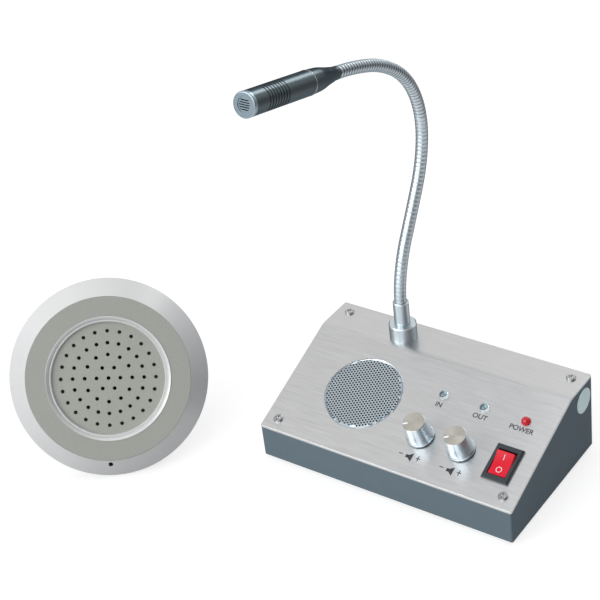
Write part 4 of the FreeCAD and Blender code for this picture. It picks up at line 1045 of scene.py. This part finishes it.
def make_legends():
    """IN, OUT and POWER over the lamps, and minus, speaker and plus under each knob."""
    meshes = [text_mesh(*legend) for legend in LEGENDS]
    outlines = []
    for x in COLUMNS_X[:2]:
        outlines.append(bar(x + MINUS_X, SIGN_S, 2.2, 0.5))
        outlines.append(bar(x + PLUS_X, SIGN_S, 2.6, 0.5))
        outlines.append(bar(x + PLUS_X, SIGN_S + 0.95, 0.5, 1.4))
        outlines.append(bar(x + PLUS_X, SIGN_S - 0.95, 0.5, 1.4))
        outlines.append([(x - 2.2, 9.9), (x - 0.6, 9.9), (x + 1.7, 8.2), (x + 1.7, 13.4),
                         (x - 0.6, 11.7), (x - 2.2, 11.7)])
    meshes.append(plate_mesh(outlines))
    add_piece("panel_legends", join_meshes("panel_legends", meshes), SLOPE, "legend_ink", "console")


make_legends()


# ---- Rocker, lamps and pointers ----

ROCKER = SLOPE @ place(COLUMNS_X[2], SWITCH_S, -1.5) @ turn(10, "X")
ROCKER_HALF, ROCKER_WIDTH, ROCKER_MIDDLE, ROCKER_RISE = 6.6, 10.2, 3.2, math.tan(math.radians(10))
LENS_RADIUS, LENS_BASE = 2.5, 0.2
POINTER_TURN = 209


def rocker_top(y):
    """Height of the rocker's top over its pivot: two shallow hollows that meet in the middle."""
    share = abs(y) / ROCKER_HALF
    return ROCKER_MIDDLE + abs(y) * ROCKER_RISE - 0.2 * math.sin(math.pi * share)


def make_rocker():
    half, steps = ROCKER_HALF, 10
    stations = [half * step / steps for step in range(-steps, steps + 1)]
    outline = [(y, rocker_top(y)) for y in stations]
    outline += [(half, 0.4), (4.62, -3.4), (-4.62, -3.4), (-half, 0.4)]
    shape = bmesh.new()
    push_out(shape, [(-ROCKER_WIDTH / 2, y, z) for y, z in outline], (ROCKER_WIDTH, 0, 0))
    edges = [edge for edge in shape.edges if edge.calc_face_angle(0) > math.radians(42)]
    bmesh.ops.bevel(shape, geom=edges, offset=0.45, segments=4, profile=0.5, affect="EDGES")
    pin = turned_mesh("pin", [(0, -6.0), (1.0, -6.0), (1.0, 6.0), (0, 6.0)], 20)
    pin.transform(turn(90, "Y"))
    add_piece("rocker_paddle", join_meshes("rocker_paddle", [to_mesh(shape, "rocker_body"), pin]), ROCKER,
              "rocker_red", "rocker", "rocker", 50.0)


def on_rocker(y):
    """A frame on the rocker's top, tilted with it."""
    slope = math.degrees(math.atan2(rocker_top(y + 0.1) - rocker_top(y - 0.1), 0.2))
    return place(0, y, rocker_top(y) + 0.01) @ turn(slope, "X")


def make_rocker_marks():
    """The I near the back of the rocker and the O near its front."""
    line = plate_mesh([bar(0, 0, 0.34, 2.9)], 0.06)
    line.transform(on_rocker(3.56))
    circle = ring_mesh(1.62, 1.3, -0.005, 0.055)
    circle.transform(on_rocker(-3.37))
    marks = join_meshes("rocker_marks", [line, circle])
    add_piece("rocker_marks", marks, ROCKER, "mark_white", "rocker")


def at_lamps(name, columns, mesh):
    """Copies of a mesh, one at the lamp of each column."""
    copies = []
    for x in columns:
        copies.append(mesh.copy())
        copies[-1].transform(place(x, LAMP_S, 0))
    return join_meshes(name, copies)


def make_lamp_lens(name, columns, finish, node):
    """A clear dome and the stub that fills the panel's hole."""
    angles = [math.radians(degrees) for degrees in range(10, 100, 10)]
    dome = [(LENS_RADIUS * math.sin(angle), LENS_BASE + LENS_RADIUS * math.cos(angle)) for angle in angles]
    section = [(0, LENS_BASE + LENS_RADIUS)] + dome + [(LENS_RADIUS, -0.6), (0, -0.6)]
    lenses = at_lamps(name, columns, turned_mesh("lens", section, 40))
    add_piece(name, lenses, SLOPE, finish, "console", node, 50.0)


def make_lamp_cups(name, columns):
    """The bright cup behind each dome, with its body and its two leads."""
    section = [(0, -1.5), (1.15, -1.5), (2.35, -0.65), (2.5, -0.65), (2.5, -4.0), (0, -4.0)]
    parts = [turned_mesh("cup", section, 40)]
    for side in (-1.27, 1.27):
        lead = turned_mesh("lead", [(0, -3.9), (0.3, -3.9), (0.3, -13.0), (0, -13.0)], 12)
        lead.transform(place(side, 0, 0))
        parts.append(lead)
    cups = at_lamps(name, columns, join_meshes("cup", parts))
    add_piece(name, cups, SLOPE, "cup_bright", "console", sharp=30.0)


def make_lamp_dies(name, columns, finish):
    """The dark carrier in the cup and the chip on it."""
    section = [(0, -1.05), (0.4, -1.05), (0.45, -1.2), (1.1, -1.3), (1.1, -1.49), (0, -1.49)]
    dies = at_lamps(name, columns, turned_mesh("carrier", section, 32))
    add_piece(name, dies, SLOPE, finish, "console", sharp=30.0)


def make_lamps():
    signals, power = COLUMNS_X[:2], COLUMNS_X[2:]
    make_lamp_lens("signal_lamp_lenses", signals, "lamp_clear", "signal_lamps")
    make_lamp_cups("signal_lamp_cups", signals)
    make_lamp_dies("signal_lamp_dies", signals, "die_teal")
    make_lamp_lens("power_lamp_lens", power, "lamp_red", "power_lamp")
    make_lamp_cups("power_lamp_cup", power)
    make_lamp_dies("power_lamp_die", power, "die_red")


def make_pointers():
    """The white line let into each knob's face."""
    for side, x in zip(("left", "right"), COLUMNS_X):
        line = plate_mesh([bar(4.55, 0, 2.5, 0.84)], 0.38)
        line.transform(place(x, KNOB_S, 13.8) @ turn(POINTER_TURN, "Z"))
        add_piece(f"{side}_pointer", line, SLOPE, "pointer_white", f"{side}_knob")


make_rocker()
make_rocker_marks()
make_lamps()
make_pointers()


# ---- Outside unit ----

def bowed(start, end, bulge, steps=6):
    """Points on a shallow arc between two points of a section, without its end."""
    (r0, z0), (r1, z1) = start, end
    length = math.hypot(r1 - r0, z1 - z0)
    side_r, side_z = -(z1 - z0) / length, (r1 - r0) / length
    shares = [step / steps for step in range(steps)]
    return [(r0 + (r1 - r0) * share + side_r * bulge * 4 * share * (1 - share),
             z0 + (z1 - z0) * share + side_z * bulge * 4 * share * (1 - share)) for share in shares]


def make_trim():
    """The trim's rounded outer band, its flat step and the small bead round the grille."""
    step_in, step_out = TRIM_STEP
    section = [(34.0, -1.5), (34.0, 0.15)] + bowed((33.8, 0.3), (step_out, -1.3), -0.22)
    section += [(step_out, -1.3), (step_in, -1.3)] + bowed((step_in, -1.25), (30.6, -2.2), -0.12, 4)
    section += [(30.6, -2.2), (30.6, -3.0), (36.0, -3.0), (36.0, -1.5), (34.0, -1.5)]
    add_piece("trim_bands", turned_mesh("trim_bands", section, 128), UNIT, "trim_polished",
              "outside_unit", "trim_ring", 32.0)


make_trim()


# ---- Microphone ----

def microphone_frame():
    point, heading = neck_path()[-1][:2]
    return CONSOLE @ Matrix.Translation(point) @ turn(heading - 90, "X")


MICROPHONE = microphone_frame()


def make_mic_tail():
    """The cone from the gooseneck to the barrel, and a bright ring at its seam, a painted highlight."""
    cone = [(3.42, 0.9), (3.46, 3.0), (3.6, 4.0), (3.76, 5.0), (3.92, 6.0), (4.24, 8.0), (4.56, 10.0),
            (4.94, 12.0), (5.38, 14.0), (5.7, 16.0), (5.86, 17.5), (5.97, 20.0), (6.08, 22.0), (6.14, 24.6),
            (5.9, 24.6), (5.9, 25.15), (5.2, 25.15), (5.2, 20.0), (3.3, 9.0), (3.3, 0.9), (3.42, 0.9)]
    # Painted highlight: a bright steel ring in the seam, lighter than the barrel.
    seam_highlight = [(5.92, 24.66), (6.2, 24.66), (6.32, 24.8), (6.32, 25.02), (6.24, 25.14), (5.92, 25.14),
            (5.92, 24.66)]
    for name, section, finish, node, sharp in (("mic_cone", cone, "mic_chrome", "mic_tail", 35.0),
                                               ("mic_seam_highlight_ring", seam_highlight, "screw_steel", None, 60.0)):
        add_piece(name, turned_mesh(name, section, 72), MICROPHONE, finish, "microphone",
                  node, sharp)


make_mic_tail()

bpy.context.view_layer.update()
